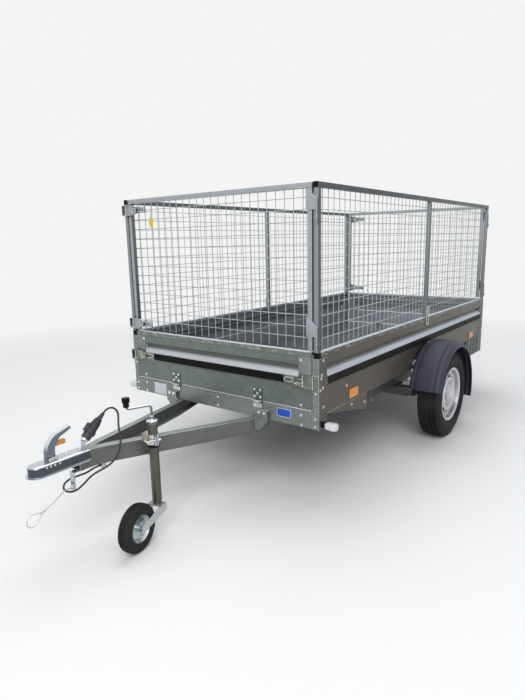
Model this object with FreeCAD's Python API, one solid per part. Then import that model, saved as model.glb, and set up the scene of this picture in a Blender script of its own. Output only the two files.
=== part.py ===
"""Single-axle utility trailer: roll-formed box with drop lids, mesh sides and a jockey wheel.

Frame: +Z up with the ground at Z = 0, +Y to the rear, +X to the trailer's left.
The origin is under the middle of the trailer. Sizes are in millimetres and degrees.
"""
import FreeCAD, Part
import math
import os

# Load box
box_length = 2700.0
box_width = 1330.0
rim_height = 808.0
floor_height = 510.0
sheet = 2.5
deck_thickness = 12.0
bend_radius = 1.5
member_count = 6
member_width = 46.0
first_member_setback = 45.0
last_member_inset = 60.0
gusset_length = 437.0
gusset_height = 84.9
gusset_corner = 18.0
skirt_length = 335.0
skirt_ribs = 4
skirt_rib = 5.0
skirt_rib_width = 26.0
seat_gap = 0.3
swing_gap = 5.0

# Roll-formed panel profile, measured down from the rim and out from the flat face
# The drops are drawn for this height of rim above floor, and keep their proportion to it
profile_height = 298.0
rim_fold = 28.0
rim_lip = 18.0
crease_drop = 68.0
groove_drop = 81.0
groove_height = 5.0
groove_depth = 22.0
shelf_drop = 126.0
band_out = 6.0
band_height = 42.0
band_step = 8.0
bottom_flange = 40.0
trim_height = 38.0
trim_thickness = 2.0

# Corner posts, sills and lids
post_face = 32.0
post_leg = 75.0
post_top_drop = 30.0
front_sill_height = 85.0
rear_sill_height = 162.0
sill_flange = 30.0
lid_bottom_gap = 6.0
lid_end_plate = 75.0
lid_lip = 16.0
hinge_height = 515.0
hinge_spacing = 600.0
hinge_radius = 8.0
hinge_pin_radius = 4.0
hinge_leaf_width = 58.0
hinge_leaf = 3.0
hinge_upper_leaf = 66.0
hinge_lower_leaf = 36.0
hinge_knuckle = 22.0
pin_clearance = 0.3

# Over-centre latches
latch_drop = 146.0
latch_reach = 190.0
latch_width = 60.0
latch_tip_width = 34.0
latch_plate = 66.0
latch_depth = 16.0
latch_skin = 3.0
latch_wire = 5.0
latch_lift = 0.4

# Mesh sides and gates
mesh_top = 1577.0
mesh_tube = 25.0
tube_wall = 2.0
mesh_wire = 4.0
mesh_pitch = 52.5
wire_clear = 14.0
mid_post_setback = 1365.0
gate_gap = 8.0
gate_proud = 1.0
gate_rise = 8.0
gate_pin_radius = 5.0
gate_pin_out = 8.0
gate_pin_in = 3.0
gate_plate = 3.0
gate_ring_radius = 9.0
gate_ring_height = 20.0
cap_height = 28.0
cap_thickness = 3.0
toggle_top = 72.0
toggle_drop = 58.0
toggle_width = 26.0
toggle_wire = 5.0

# Drawbar
drawbar_reach = 1100.0
beam_height = 80.0
beam_flange = 38.0
beam_wall = 3.0
beam_rise = 38.0
beam_nose_half = 33.0
beam_sill_half = 298.0
beam_rear_half = 520.0
beam_nose_start = 215.0
beam_bend = 290.0
beam_overrun = 90.0
beam_centre_gap = 3.0
beam_level = 60.0
bracket_front = 18.0
bracket_plate = 4.0
bracket_width = 80.0
bracket_drop = 62.0
bracket_rise = 48.0
bracket_reach = 70.0

# Coupling head and its lever
coupling_wall = 3.5
coupling_flange = 9.0
coupling_height = 46.0
ball_radius = 25.0
ball_clearance = 0.4
lever_width = 26.0
lever_skin = 3.0
lever_setback = 92.0
lever_pin = 6.0

# Axle, wheels and mudguards
axle_setback = 1427.0
wheel_centre = 772.0
tyre_radius = 289.0
tyre_width = 156.0
tyre_wall = 8.0
tread_half = 60.0
tread_groove = 7.0
tread_groove_pitch = 34.0
rim_radius = 182.4
rim_width = 130.0
rim_wall = 4.0
rim_seat_drop = 17.0
rim_well_drop = 40.0
bolt_face = 16.0
vent_circle = 113.0
vent_count = 8
vent_radius = 9.0
axle_tube_size = 60.0
axle_wall = 5.0
axle_plate_reach = 45.0
axle_lead = 150.0
axle_end_inset = 62.0
axle_mount = 6.0
arm_inset = 34.0
arm_root_radius = 32.0
arm_tip_radius = 24.0
hub_flange_radius = 62.0
hub_radius = 34.0
stub_radius = 14.0
guard_gap = 12.0
guard_width = 203.0
guard_radius = 360.0
guard_wall = 3.0
guard_centre_y = -13.0
guard_centre_z = 295.0
guard_front_angle = 75.5
guard_rear_angle = 105.3
guard_bracket_drop = 16.0
guard_bracket_height = 46.0
guard_bracket_reach = 20.0
guard_bracket_wall = 3.0

# Jockey wheel
jockey_along = 252.0
jockey_standoff = 48.0
jockey_tube_radius = 22.0
jockey_tube_wall = 2.5
jockey_tube_top = 540.0
jockey_tube_bottom = 168.0
jockey_leg_top = 420.0
jockey_wheel_radius = 107.5
jockey_wheel_width = 56.0
jockey_rim_radius = 61.0
jockey_trail = 155.0
jockey_turn = 13.0
jockey_arm_gap = 6.0
jockey_arm = 4.0
jockey_axle = 5.8
jockey_bush = 15.0
jockey_head_lead = 27.0
clamp_height = 46.0
clamp_middle = 466.0
clamp_bolt = 5.0
clamp_handle_reach = 44.0
clamp_handle_half = 24.0
crank_rise = 42.0
crank_reach = 112.0
crank_radius = 5.5
knob_radius = 17.0

# Lamps
lamp_depth = 30.0
rear_lamp_width = 190.0
rear_lamp_height = 95.0
rear_lamp_rise = 72.0
marker_lamp_width = 58.0
marker_lamp_height = 26.0
marker_lamp_depth = 34.0
marker_arm_reach = 32.0
reflector_length = 88.0
reflector_height = 48.0
reflector_depth = 8.0
front_reflector_setback = 303.0
rear_reflector_inset = 277.0

# Cords
cable_radius = 4.4
wire_radius = 2.2
plug_length = 134.0
plug_grip_end = 104.0
plug_radius = 21.5
plug_collar_radius = 25.5
plug_setback = 272.0
plug_rise = 42.0
plug_boot_radius = 7.5
plug_lean = 49.46
clip_drop = 32.0
clip_setback = 335.0
anchor_setback = 196.0
anchor_drop = 70.7
anchor_plate = 4.0

# Stations along the trailer
overall_length = drawbar_reach + box_length + lamp_depth
nose_y = -overall_length / 2
front_y = nose_y + drawbar_reach
rear_y = front_y + box_length
axle_y = front_y + axle_setback
half = box_width / 2
deck_bottom = floor_height - deck_thickness
panel_bottom = deck_bottom - seat_gap - sheet
lid_bottom = floor_height + lid_bottom_gap + 2.0
profile_share = (rim_height - floor_height) / profile_height
crease_z = rim_height - crease_drop * profile_share
groove_top = rim_height - groove_drop * profile_share
groove_foot = groove_top - groove_height * profile_share
shelf_z = rim_height - shelf_drop * profile_share
band_low = shelf_z - band_height * profile_share
band_foot = band_low - band_step * profile_share
latch_height = rim_height - latch_drop * profile_share
reflector_middle = panel_bottom + 0.31 * (band_foot - panel_bottom)
front_sill_bottom = floor_height + 2.0 - front_sill_height
rear_sill_bottom = floor_height + 2.0 - rear_sill_height
beam_top = front_sill_bottom - seat_gap
post_top = rim_height - post_top_drop
rail_bottom = mesh_top - mesh_tube
lid_half = half - post_face - swing_gap
gate_half = half - mesh_tube - gate_gap
beam_slope = (beam_sill_half - beam_nose_half) / (drawbar_reach - beam_bend)
beam_angle = math.degrees(math.atan(beam_slope))
wheel_z = tyre_radius
beam_bottom = beam_top - beam_height
nose_beam_bottom = beam_bottom + beam_rise
coupling_top = beam_top + beam_rise + seat_gap + coupling_wall
coupling_bottom = coupling_top - coupling_height
coupling_side = beam_nose_half + seat_gap + coupling_wall
nose_centre_y = nose_y + coupling_side + coupling_flange
socket_radius = ball_radius + ball_clearance
ball_z = coupling_top - coupling_wall - socket_radius - 1
plug_y = nose_y + plug_setback
plug_z = beam_top + beam_rise + plug_rise
clip_y = nose_y + clip_setback
anchor_y = nose_y + anchor_setback
anchor_z = nose_beam_bottom - anchor_drop


def vec(x, y, z):
    """Point or direction."""
    return FreeCAD.Vector(x, y, z)


X_AXIS = vec(1, 0, 0)
Y_AXIS = vec(0, 1, 0)
Z_AXIS = vec(0, 0, 1)
ORIGIN = vec(0, 0, 0)


def block(x, y, z):
    """Box between the low and high value on each axis."""
    low = vec(x[0], y[0], z[0])
    return Part.makeBox(x[1] - x[0], y[1] - y[0], z[1] - z[0], low)


def square_tube(x, y, z, along):
    """Hollow square tube between the low and high value on each axis, open at both ends."""
    spans = [x, y, z]
    bore = [(low + tube_wall, high - tube_wall) for low, high in spans]
    bore[along] = (spans[along][0] - 1, spans[along][1] + 1)
    return block(x, y, z).cut(block(*bore))


def rod(radius, start, end):
    """Round bar between two points."""
    axis = end - start
    return Part.makeCylinder(radius, axis.Length, start, axis)


def fuse(solids):
    """One solid out of several that overlap or share a face."""
    return solids[0].multiFuse(solids[1:]).removeSplitter()


def face_of(points):
    """Flat face inside a closed run of points."""
    return Part.Face(Part.makePolygon(points + [points[0]]))


def prism(points, travel):
    """Solid swept straight from a flat outline."""
    return face_of(points).extrude(travel)


def mirrored(shape):
    """The same shape on the trailer's other side."""
    return shape.mirror(ORIGIN, X_AXIS)


def swapped(shape):
    """The same shape at the other end of the box."""
    return shape.mirror(vec(0, (front_y + rear_y) / 2, 0), Y_AXIS)


def group(solids):
    """Several solids kept apart in one node."""
    return Part.makeCompound(solids)


def sheet_outline(run, thickness):
    """Closed outline of a folded sheet; the sheet lies to the left of the run."""
    normals = []
    for (a0, b0), (a1, b1) in zip(run, run[1:]):
        length = math.hypot(a1 - a0, b1 - b0)
        normals.append(((b0 - b1) / length, (a1 - a0) / length))
    joined = [(normals[0], normals[0])] + list(zip(normals, normals[1:])) + [(normals[-1], normals[-1])]
    inner = []
    for (a, b), (n0, n1) in zip(run, joined):
        share = thickness / (1 + n0[0] * n1[0] + n0[1] * n1[1])
        inner.append((a + (n0[0] + n1[0]) * share, b + (n0[1] + n1[1]) * share))
    return list(run) + inner[::-1]


def folded_side(run, headings, thickness, out):
    """One skin of a folded sheet as (start, middle, end) arcs between straight flats."""
    corners = []
    for index in range(1, len(run) - 1):
        before, corner, after = run[index - 1:index + 2]
        turn = math.remainder(headings[index] - headings[index - 1], 2 * math.pi)
        side = math.copysign(1, turn)
        radius = bend_radius + (thickness if turn > 0 else 0)
        slope = math.tan(abs(turn) / 2)
        back = min(radius * slope, 0.45 * math.dist(before, corner), 0.45 * math.dist(corner, after))
        radius = back / slope
        start = along_heading(corner, headings[index - 1], -back)
        end = along_heading(corner, headings[index], back)
        centre = offset_point(start, headings[index - 1], radius * side)
        share = (radius - side * out) / math.dist(centre, corner)
        middle = (centre[0] + (corner[0] - centre[0]) * share, centre[1] + (corner[1] - centre[1]) * share)
        first = offset_point(start, headings[index - 1], out)
        last = offset_point(end, headings[index], out)
        corners.append((first, middle, last))
    return corners


def along_heading(point, heading, travel):
    """Point moved along a heading."""
    return (point[0] + math.cos(heading) * travel, point[1] + math.sin(heading) * travel)


def offset_point(point, heading, out):
    """Point moved to the left of a heading."""
    return (point[0] - math.sin(heading) * out, point[1] + math.cos(heading) * out)


def folded_wire(run, thickness, place):
    """Closed outline of a folded sheet with round bends; the sheet lies to the left of the run."""
    headings = [math.atan2(b1 - b0, a1 - a0) for (a0, b0), (a1, b1) in zip(run, run[1:])]
    edges = []
    ends = []
    for out in (0, thickness):
        corners = folded_side(run, headings, thickness, out)
        first = offset_point(run[0], headings[0], out)
        last = offset_point(run[-1], headings[-1], out)
        if out:
            corners = [corner[::-1] for corner in corners[::-1]]
            first, last = last, first
        at = first
        if ends:
            edges.append(Part.LineSegment(place(*ends[-1]), place(*at)).toShape())
        for start, middle, end in corners:
            edges.append(Part.LineSegment(place(*at), place(*start)).toShape())
            edges.append(Part.Arc(place(*start), place(*middle), place(*end)).toShape())
            at = end
        edges.append(Part.LineSegment(place(*at), place(*last)).toShape())
        ends += [first, last]
    edges.append(Part.LineSegment(place(*ends[-1]), place(*ends[0])).toShape())
    return Part.Wire(edges)


def folded_face(run, thickness, place):
    """Section of a folded sheet."""
    return Part.Face(folded_wire(run, thickness, place))


# Panels in their own frame: x out of the box, y along the panel, z up

def rim_run():
    """Flat face and folded rim at the top of a panel, from below the crease upwards."""
    return [(0, rim_height), (-rim_fold, rim_height), (-rim_fold, rim_height - rim_lip)]


def profile_run(low):
    """Roll-formed face from the given low end: band, sloping shelf, groove and rim."""
    face = [
        (0, band_foot),
        (band_out, band_low),
        (band_out, shelf_z),
        (-groove_depth, groove_foot),
        (-groove_depth, groove_top),
        (0, crease_z),
    ]
    return low + face + rim_run()


def flat_run(low):
    """Plain face from the given low end to the rim."""
    return low + rim_run()


def swept_sheet(run, start, end):
    """Folded sheet swept along the panel."""
    section = folded_face(run, sheet, lambda a, b: vec(a, start, b))
    return section.extrude(vec(0, end - start, 0))


def formed_panel(low, start, end, end_plate):
    """Panel with a roll-formed middle, flat ends and plates that close the groove."""
    middle = swept_sheet(profile_run(low), start + end_plate, end - end_plate)
    first = swept_sheet(flat_run(low), start, start + end_plate)
    last = swept_sheet(flat_run(low), end - end_plate, end)
    groove = (-groove_depth - sheet, -sheet / 2)
    face = (band_low, crease_z + sheet)
    closer_first = block(groove, (start + end_plate - sheet, start + end_plate), face)
    closer_last = block(groove, (end - end_plate, end - end_plate + sheet), face)
    return fuse([middle, first, last, closer_first, closer_last])


def trim_strip(start, end):
    """Black strip on the upright band of a panel."""
    inset = (band_height - trim_height) / 2 * profile_share
    out = (band_out + seat_gap, band_out + seat_gap + trim_thickness)
    return block(out, (start, end), (band_low + inset, shelf_z - inset))


def on_left_side(shape):
    """Panel frame to the left side of the box."""
    return shape.translated(vec(half, 0, 0))


def on_front(shape):
    """Panel frame to the front of the box; the panel's y runs along X."""
    turned = shape.rotated(ORIGIN, Z_AXIS, -90)
    return turned.translated(vec(0, front_y, 0))


def side_panel():
    """Left side panel between the end posts, notched for the mesh posts."""
    low = [(-bottom_flange, panel_bottom), (0, panel_bottom)]
    start = front_y + sheet + seat_gap
    end = rear_y - sheet - seat_gap
    panel = on_left_side(formed_panel(low, start, end, post_leg))
    notch_x = (half - rim_fold - 1, half + 1)
    notch_z = (post_top, rim_height + 1)
    depth = mesh_tube + seat_gap
    panel = panel.cut(block(notch_x, (front_y - 1, front_y + depth), notch_z))
    return panel.cut(block(notch_x, (rear_y - depth, rear_y + 1), notch_z))


def side_trim():
    """Black strips on both sides."""
    start = front_y + post_leg + sheet + 4
    end = rear_y - post_leg - sheet - 4
    strip = on_left_side(trim_strip(start, end))
    return group([strip, mirrored(strip)])


def lid_panel():
    """Front lid, upright."""
    low = [(-lid_lip, lid_bottom), (0, lid_bottom)]
    return on_front(formed_panel(low, -lid_half, lid_half, lid_end_plate))


def lid_trim():
    """Black strip on the front lid, between the latch hooks."""
    reach = half - latch_reach - 6
    return on_front(trim_strip(-reach, reach))


def front_plate(x, z, low, high):
    """Plate in front of the box face, between two distances out of it."""
    return block(x, (front_y - high, front_y - low), z)


def hinge_axis_y():
    """Distance of the lids' hinge line from the middle of the box end, at the front."""
    return front_y - hinge_radius


def knuckle(x, outer, inner):
    """Piece of hinge barrel about the lid's hinge line."""
    centre = hinge_axis_y()
    start = vec(x[0], centre, hinge_height)
    end = vec(x[1], centre, hinge_height)
    barrel = rod(outer, start, end)
    if inner:
        barrel = barrel.cut(rod(inner, start - X_AXIS, end + X_AXIS))
    return barrel


def lid_hinge_leaf(x):
    """Upper hinge leaf with the middle knuckle; it turns with the lid."""
    inner = seat_gap
    leaf = front_plate(
        (x - hinge_leaf_width / 2, x + hinge_leaf_width / 2),
        (hinge_height + hinge_radius + 1, hinge_height + hinge_radius + hinge_upper_leaf),
        inner, inner + hinge_leaf)
    reach = hinge_knuckle / 2
    tongue = front_plate(
        (x - reach, x + reach),
        (hinge_height + hinge_pin_radius + 1, hinge_height + hinge_radius + 2),
        inner, inner + hinge_leaf)
    bore = hinge_pin_radius + pin_clearance
    barrel = knuckle((x - reach, x + reach), hinge_radius - seat_gap, bore)
    return fuse([leaf, tongue, barrel])


def sill_hinge_leaf(x):
    """Lower hinge leaf with the outer knuckles and the pin; it stays with the sill."""
    inner = seat_gap
    width = hinge_leaf_width / 2
    leaf = front_plate(
        (x - width, x + width),
        (hinge_height - hinge_lower_leaf, hinge_height - hinge_radius - 1),
        inner, inner + hinge_leaf)
    reach = hinge_knuckle / 2 + 0.5
    pieces = [leaf]
    for low, high in ((x - width, x - reach), (x + reach, x + width)):
        top = hinge_height - hinge_pin_radius
        tongue = front_plate((low, high), (hinge_height - hinge_radius - 2, top), inner, inner + hinge_leaf)
        pieces += [tongue, knuckle((low, high), hinge_radius - seat_gap, None)]
    pieces.append(knuckle((x - width, x + width), hinge_pin_radius, None))
    return fuse(pieces)


def latch_outline(x_post, height, reach, inset):
    """Tapering outline of a latch lever, drawn in by an inset."""
    tip = x_post - reach + latch_plate
    wide = latch_width / 2 - inset
    narrow = latch_tip_width / 2 - inset
    neck = x_post - 0.3 * reach
    end = x_post - inset
    corners = (
        (end, -wide), (end, wide), (neck, wide), (tip + inset, narrow), (tip + inset, -narrow), (neck, -wide))
    return [(x, height + z) for x, z in corners]


def latch(x_post, height, reach, lift, keeper_low):
    """Tapering latch lever, its two wires and the ribbed hook plate on the moving panel, at the left."""
    outer = [vec(x, front_y - lift, z) for x, z in latch_outline(x_post, height, reach, 0)]
    back = front_y - lift - latch_skin
    inner = [vec(x, back, z) for x, z in latch_outline(x_post, height, reach, latch_skin)]
    lever = prism(outer, vec(0, -latch_depth, 0)).cut(prism(inner, vec(0, -latch_depth, 0)))
    wire_low = lift + latch_skin - 1
    wire_high = wire_low + latch_wire
    narrow = latch_tip_width / 2
    pieces = [lever]
    end = x_post - reach
    for side in (-1, 1):
        z = height + side * (narrow - latch_skin - latch_wire)
        run = (end + latch_wire, end + latch_plate + 2 * latch_skin)
        pieces.append(front_plate(run, (z - latch_wire / 2, z + latch_wire / 2), wire_low, wire_high))
    span = (height - narrow, height + narrow)
    plate = front_plate((end, end + latch_plate - 3), span, keeper_low, wire_low + 1)
    lip = front_plate((end, end + latch_skin), span, keeper_low, wire_high)
    return fuse(pieces + [plate, lip])


def latch_base(height):
    """Bracket on the corner post with an ear above and below the latch lever."""
    x = (half - post_face + 2, half + sheet - 2)
    half_width = latch_width / 2 + 1.5
    plate = front_plate(x, (height - half_width - 3, height + half_width + 3), 0, 3)
    ears = []
    for side in (-1, 1):
        z = sorted((height + side * half_width, height + side * (half_width + 3)))
        ears.append(front_plate(x, z, 0, latch_depth))
    return fuse([plate] + ears)


def corner_post(bottom):
    """Left front corner post with its latch base."""
    face_x = (half - post_face, half + seat_gap + sheet)
    face = block(face_x, (front_y, front_y + sheet), (bottom, post_top - seat_gap))
    side_x = (half + seat_gap, half + seat_gap + sheet)
    side = block(side_x, (front_y, front_y + post_leg), (bottom, post_top - seat_gap))
    return fuse([face, side, latch_base(latch_height)])


def corner_posts():
    """Two short front posts and two long rear posts."""
    front = corner_post(front_sill_bottom)
    rear = swapped(corner_post(rear_sill_bottom))
    return group([front, mirrored(front), rear, mirrored(rear)])


def sill(bottom):
    """Folded sheet below a lid, between the corner posts, with its hinge leaves."""
    reach = half - post_face - seat_gap
    run = [(-sill_flange, bottom), (0, bottom), (0, floor_height + 2)]
    return on_front(swept_sheet(run, -reach, reach))


def sill_hinges():
    """Fixed hinge halves of one lid."""
    return [sill_hinge_leaf(side * hinge_spacing / 2) for side in (-1, 1)]


def rear_skirt():
    """Ribbed plate under the left side panel at its rear end."""
    pitch = skirt_length / skirt_ribs
    reach = skirt_rib_width / 2
    start = rear_y - post_leg - skirt_length
    run = [(0, start)]
    for index in range(skirt_ribs):
        y = start + (index + 0.5) * pitch
        crest = reach - skirt_rib
        run += [(0, y - reach), (skirt_rib, y - crest), (skirt_rib, y + crest), (0, y + reach)]
    run.append((0, start + skirt_length - seat_gap))
    bottom = rear_sill_bottom + 2
    section = folded_face(run, sheet, lambda a, b: vec(half + a, b, bottom))
    return section.extrude(vec(0, 0, panel_bottom - seat_gap - bottom))


def front_sill():
    """Front sill and the fixed hinge halves of the front lid."""
    return group([fuse([sill(front_sill_bottom)])] + sill_hinges())


def rear_sill():
    """Rear sill, its hinge halves and the ribbed skirts beside it."""
    plates = [sill(rear_sill_bottom)] + sill_hinges()
    skirt = rear_skirt()
    return group([swapped(piece) for piece in plates] + [skirt, mirrored(skirt)])


def lid_fittings():
    """Hinge leaves and latches that ride on the front lid."""
    leaves = [lid_hinge_leaf(side * hinge_spacing / 2) for side in (-1, 1)]
    left = latch(half - 2, latch_height, latch_reach, band_out + latch_lift, band_out + seat_gap)
    return group(leaves + [left, mirrored(left)])


def floor_deck():
    """Plywood load floor."""
    x = half - sheet - bend_radius
    y = (front_y + sheet + seat_gap, rear_y - sheet - seat_gap)
    return block((-x, x), y, (deck_bottom, floor_height))


def cross_members():
    """Folded members under the floor, seated between the beams and the panel flanges."""
    low = front_sill_bottom
    top = panel_bottom - seat_gap
    reach = half - sheet - 1
    first = front_y + first_member_setback
    pitch = (rear_y - last_member_inset - first) / (member_count - 1)
    members = []
    for index in range(member_count):
        y = first + index * pitch
        run = [(y + member_width, top), (y, top), (y, low), (y + member_width, low)]
        section = folded_face(run, sheet, lambda a, b: vec(-reach, a, b))
        members.append(section.extrude(vec(2 * reach, 0, 0)))
    return group(members)


def side_gussets():
    """Plates hanging below the front of both side panels."""
    top = panel_bottom - seat_gap
    low = top - gusset_height
    start = front_y + post_leg + 2
    end = start + gusset_length
    corners = ((start, top), (end, top), (end, low + gusset_corner), (end - gusset_corner, low))
    points = [vec(half - sheet, y, z) for y, z in corners]
    plate = prism(points, vec(sheet, 0, 0))
    return group([plate, mirrored(plate)])


# Mesh

def spread(start, end, pitch):
    """Evenly spaced places strictly between two ends, about one pitch apart."""
    count = max(2, round((end - start) / pitch))
    step = (end - start) / count
    return [start + index * step for index in range(1, count)]


def ladder(low, high, bottom, top, place, depth):
    """Mesh wires that run across, joined by one upright at each end."""
    bars = spread(bottom, top, mesh_pitch)
    outline = [place(low, bottom), place(high, bottom), place(high, top), place(low, top)]
    sheet_face = face_of(outline)
    levels = [bottom] + bars + [top]
    windows = []
    for under, over in zip(levels, levels[1:]):
        z0 = under + (mesh_wire if under == bottom else mesh_wire / 2)
        z1 = over - (mesh_wire if over == top else mesh_wire / 2)
        a0 = low + mesh_wire
        a1 = high - mesh_wire
        windows.append(face_of([place(a0, z0), place(a1, z0), place(a1, z1), place(a0, z1)]))
    return sheet_face.cut(Part.makeCompound(windows)).extrude(depth)


def side_mesh():
    """Left side frame: rail, three posts, upright wires and the gates' hinge rings."""
    x = (half - mesh_tube, half)
    rail = square_tube(x, (front_y, rear_y), (rail_bottom, mesh_top), 1)
    middle = front_y + mid_post_setback
    bottom = post_top + cap_height
    # y of a post's low side, height of its foot
    posts = ((front_y, bottom), (middle, rim_height + seat_gap), (rear_y - mesh_tube, bottom))
    pieces = [rail] + [square_tube(x, (y, y + mesh_tube), (foot, rail_bottom), 2) for y, foot in posts]
    start = front_y + mesh_tube
    end = rear_y - mesh_tube
    wire_x = (half - mesh_tube - mesh_wire, half - mesh_tube)
    for y in spread(start, end, mesh_pitch):
        foot_z = rim_height + seat_gap
        pieces.append(block(wire_x, (y - mesh_wire / 2, y + mesh_wire / 2), (foot_z, mesh_top - 8)))
    return fuse(pieces + [post_toggle()])


def hinge_rings():
    """Rings on the left posts that carry the gates' pins."""
    rings = []
    for height in gate_plate_heights():
        low = height - gate_ring_height - 32
        centre = vec(half - gate_pin_in, front_y - gate_pin_out, low)
        top = centre + vec(0, 0, gate_ring_height)
        ring = rod(gate_ring_radius, centre, top)
        ring = ring.cut(rod(gate_pin_radius + pin_clearance, centre - Z_AXIS, top + Z_AXIS))
        rings.append(ring)
    return rings


def gate_plate_heights():
    """Heights of the foot of the upper and lower gate hinge plates."""
    return (mesh_top - 120, post_top + 104)


def post_toggle():
    """Over-centre toggle on the left middle post, with its wire hooked under the panel's rim face."""
    middle = front_y + mid_post_setback + mesh_tube / 2
    high = rim_height + toggle_top
    hook = rim_height - toggle_drop
    reach = toggle_width / 2
    near = half - 1
    body = block((near, half + 11), (middle - reach + 4, middle + reach - 4), (rim_height + 18, high))
    cover = block((near, half + 4), (middle - reach, middle + reach), (rim_height + 30, high - 12))
    inside = (middle - reach + 7, middle + reach - 7)
    hollow = block((half + 3, half + 12), inside, (rim_height + 10, high - 4))
    pieces = [fuse([body, cover]).cut(hollow)]
    wire_x = (half + seat_gap, half + seat_gap + toggle_wire)
    for side in (-1, 1):
        y = middle + side * (reach - 1)
        pieces.append(block(wire_x, (y - toggle_wire / 2, y + toggle_wire / 2), (hook, rim_height + 40)))
    span = (middle - reach - 1, middle + reach + 1)
    pieces.append(block(wire_x, span, (hook, hook + toggle_wire)))
    return fuse(pieces)


def side_mesh_left():
    """Left mesh side with the hinge rings of both gates."""
    rings = hinge_rings()
    return fuse([side_mesh()] + rings + [swapped(ring) for ring in rings])


def side_ladder():
    """Cross wires of the left mesh side, inside its uprights."""
    x = half - mesh_tube - mesh_wire - seat_gap
    clear = mesh_tube + wire_clear
    return ladder(
        front_y + clear, rear_y - clear, rim_height + 4, rail_bottom + 6,
        lambda y, z: vec(x, y, z), vec(-mesh_wire, 0, 0))


def gate():
    """Front mesh gate: frame, upright wires, hinge plates with pins, and its latches."""
    y = (front_y - gate_proud, front_y - gate_proud + mesh_tube)
    bottom = rim_height + gate_rise
    rail = square_tube((-gate_half, gate_half), y, (rail_bottom, mesh_top), 0)
    pieces = [rail]
    for side in (-1, 1):
        x = sorted((side * (gate_half - mesh_tube), side * gate_half))
        pieces.append(square_tube(x, y, (bottom, rail_bottom), 2))
    wire_y = (y[1], y[1] + mesh_wire)
    reach = gate_half - mesh_tube / 2
    for x in spread(-reach, reach, mesh_pitch):
        pieces.append(block((x - mesh_wire / 2, x + mesh_wire / 2), wire_y, (bottom, mesh_top - 8)))
    for height in gate_plate_heights():
        pieces.append(gate_hinge_plate(height))
    latches = [gate_latch(height) for height in gate_latch_heights()]
    return group([fuse(pieces)] + latches)


def gate_hinge_plate(height):
    """Three-cornered plate on the gate's left tube, with the pin that drops into a ring."""
    near = half - gate_pin_in
    far = gate_half - mesh_tube - 6
    back = front_y - gate_proud
    corners = ((far, height), (near, height), (near, height + 48), (far + 6, height + 94), (far, height + 94))
    points = [vec(x, back, z) for x, z in corners]
    plate = prism(points, vec(0, -gate_plate, 0))
    centre = front_y - gate_pin_out
    foot = vec(near, centre, height - gate_ring_height - 42)
    return fuse([plate, rod(gate_pin_radius, foot, vec(near, centre, height + 46))])


def gate_latch_heights():
    """Heights of the upper and lower gate latches."""
    return (mesh_top - 62, post_top + 78)


def gate_latch(height):
    """Latch of the gate at its free side."""
    lift = gate_proud + seat_gap
    piece = latch(half - 1, height, latch_reach, lift + 4, lift + 4)
    foot_x = (gate_half - mesh_tube + 2, gate_half - 2)
    foot = front_plate(foot_x, (height - 10, height + 10), lift, lift + 6)
    return mirrored(fuse([piece, foot]))


def gate_ladder():
    """Cross wires of the front gate, inside its uprights."""
    y = front_y - gate_proud + mesh_tube + mesh_wire + seat_gap
    reach = gate_half - mesh_tube / 2 + 2
    return ladder(
        -reach, reach, rim_height + gate_rise, rail_bottom + 6,
        lambda x, z: vec(x, y, z), vec(0, mesh_wire, 0))


def mesh_caps():
    """Black plugs at the rails' ends and under the end posts."""
    x = (half - mesh_tube, half)
    rail_end = block(x, (front_y - cap_thickness, front_y - seat_gap / 3), (rail_bottom, mesh_top))
    foot = block(x, (front_y, front_y + mesh_tube), (post_top, post_top + cap_height - seat_gap / 3))
    pieces = [rail_end, foot, swapped(rail_end), swapped(foot)]
    return group(pieces + [mirrored(piece) for piece in pieces])


# Drawbar

def beam_station(x, y, z, heading_in, heading_out):
    """Section of the left beam at a point of its outer face, square to both headings."""
    turn = math.radians(heading_out - heading_in) / 2
    middle = math.radians((heading_in + heading_out) / 2)
    across = vec(math.cos(middle), -math.sin(middle), 0) * (1 / math.cos(turn))
    run = [(-beam_flange, 0), (0, 0), (0, beam_height), (-beam_flange, beam_height)]
    return folded_wire(run, beam_wall, lambda a, b: vec(x, y, z) + across * a + Z_AXIS * b)


def drawbar_beam():
    """Left C-beam: straight in the coupling, spread to the sill, straight under the floor."""
    sill_y = front_y
    low = beam_top - beam_height
    nose_bend_y = nose_y + beam_bend
    slant = beam_angle
    rear_bend_y = sill_y + (beam_rear_half - beam_sill_half) / beam_slope

    def on_slant(y):
        return beam_sill_half + (y - sill_y) * beam_slope

    # x, y, height of the beam's underside, heading before and after
    stations = (
        (beam_nose_half, nose_y + beam_nose_start, low + beam_rise, 0, 0),
        (beam_nose_half, nose_bend_y, low + beam_rise, 0, slant),
        (on_slant(nose_bend_y + beam_level), nose_bend_y + beam_level, low + beam_rise, slant, slant),
        (on_slant(sill_y - beam_level), sill_y - beam_level, low, slant, slant),
        (beam_rear_half, rear_bend_y, low, slant, 0),
        (beam_rear_half, axle_y + beam_overrun, low, 0, 0),
    )
    wires = [beam_station(*station) for station in stations]
    spans = [Part.makeLoft(list(pair), True, True) for pair in zip(wires, wires[1:])]
    beam = fuse(spans)
    clear = block((-beam_height, beam_centre_gap / 2), (nose_y, front_y), (low - 1, low + 2 * beam_height))
    return beam.cut(clear)


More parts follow.
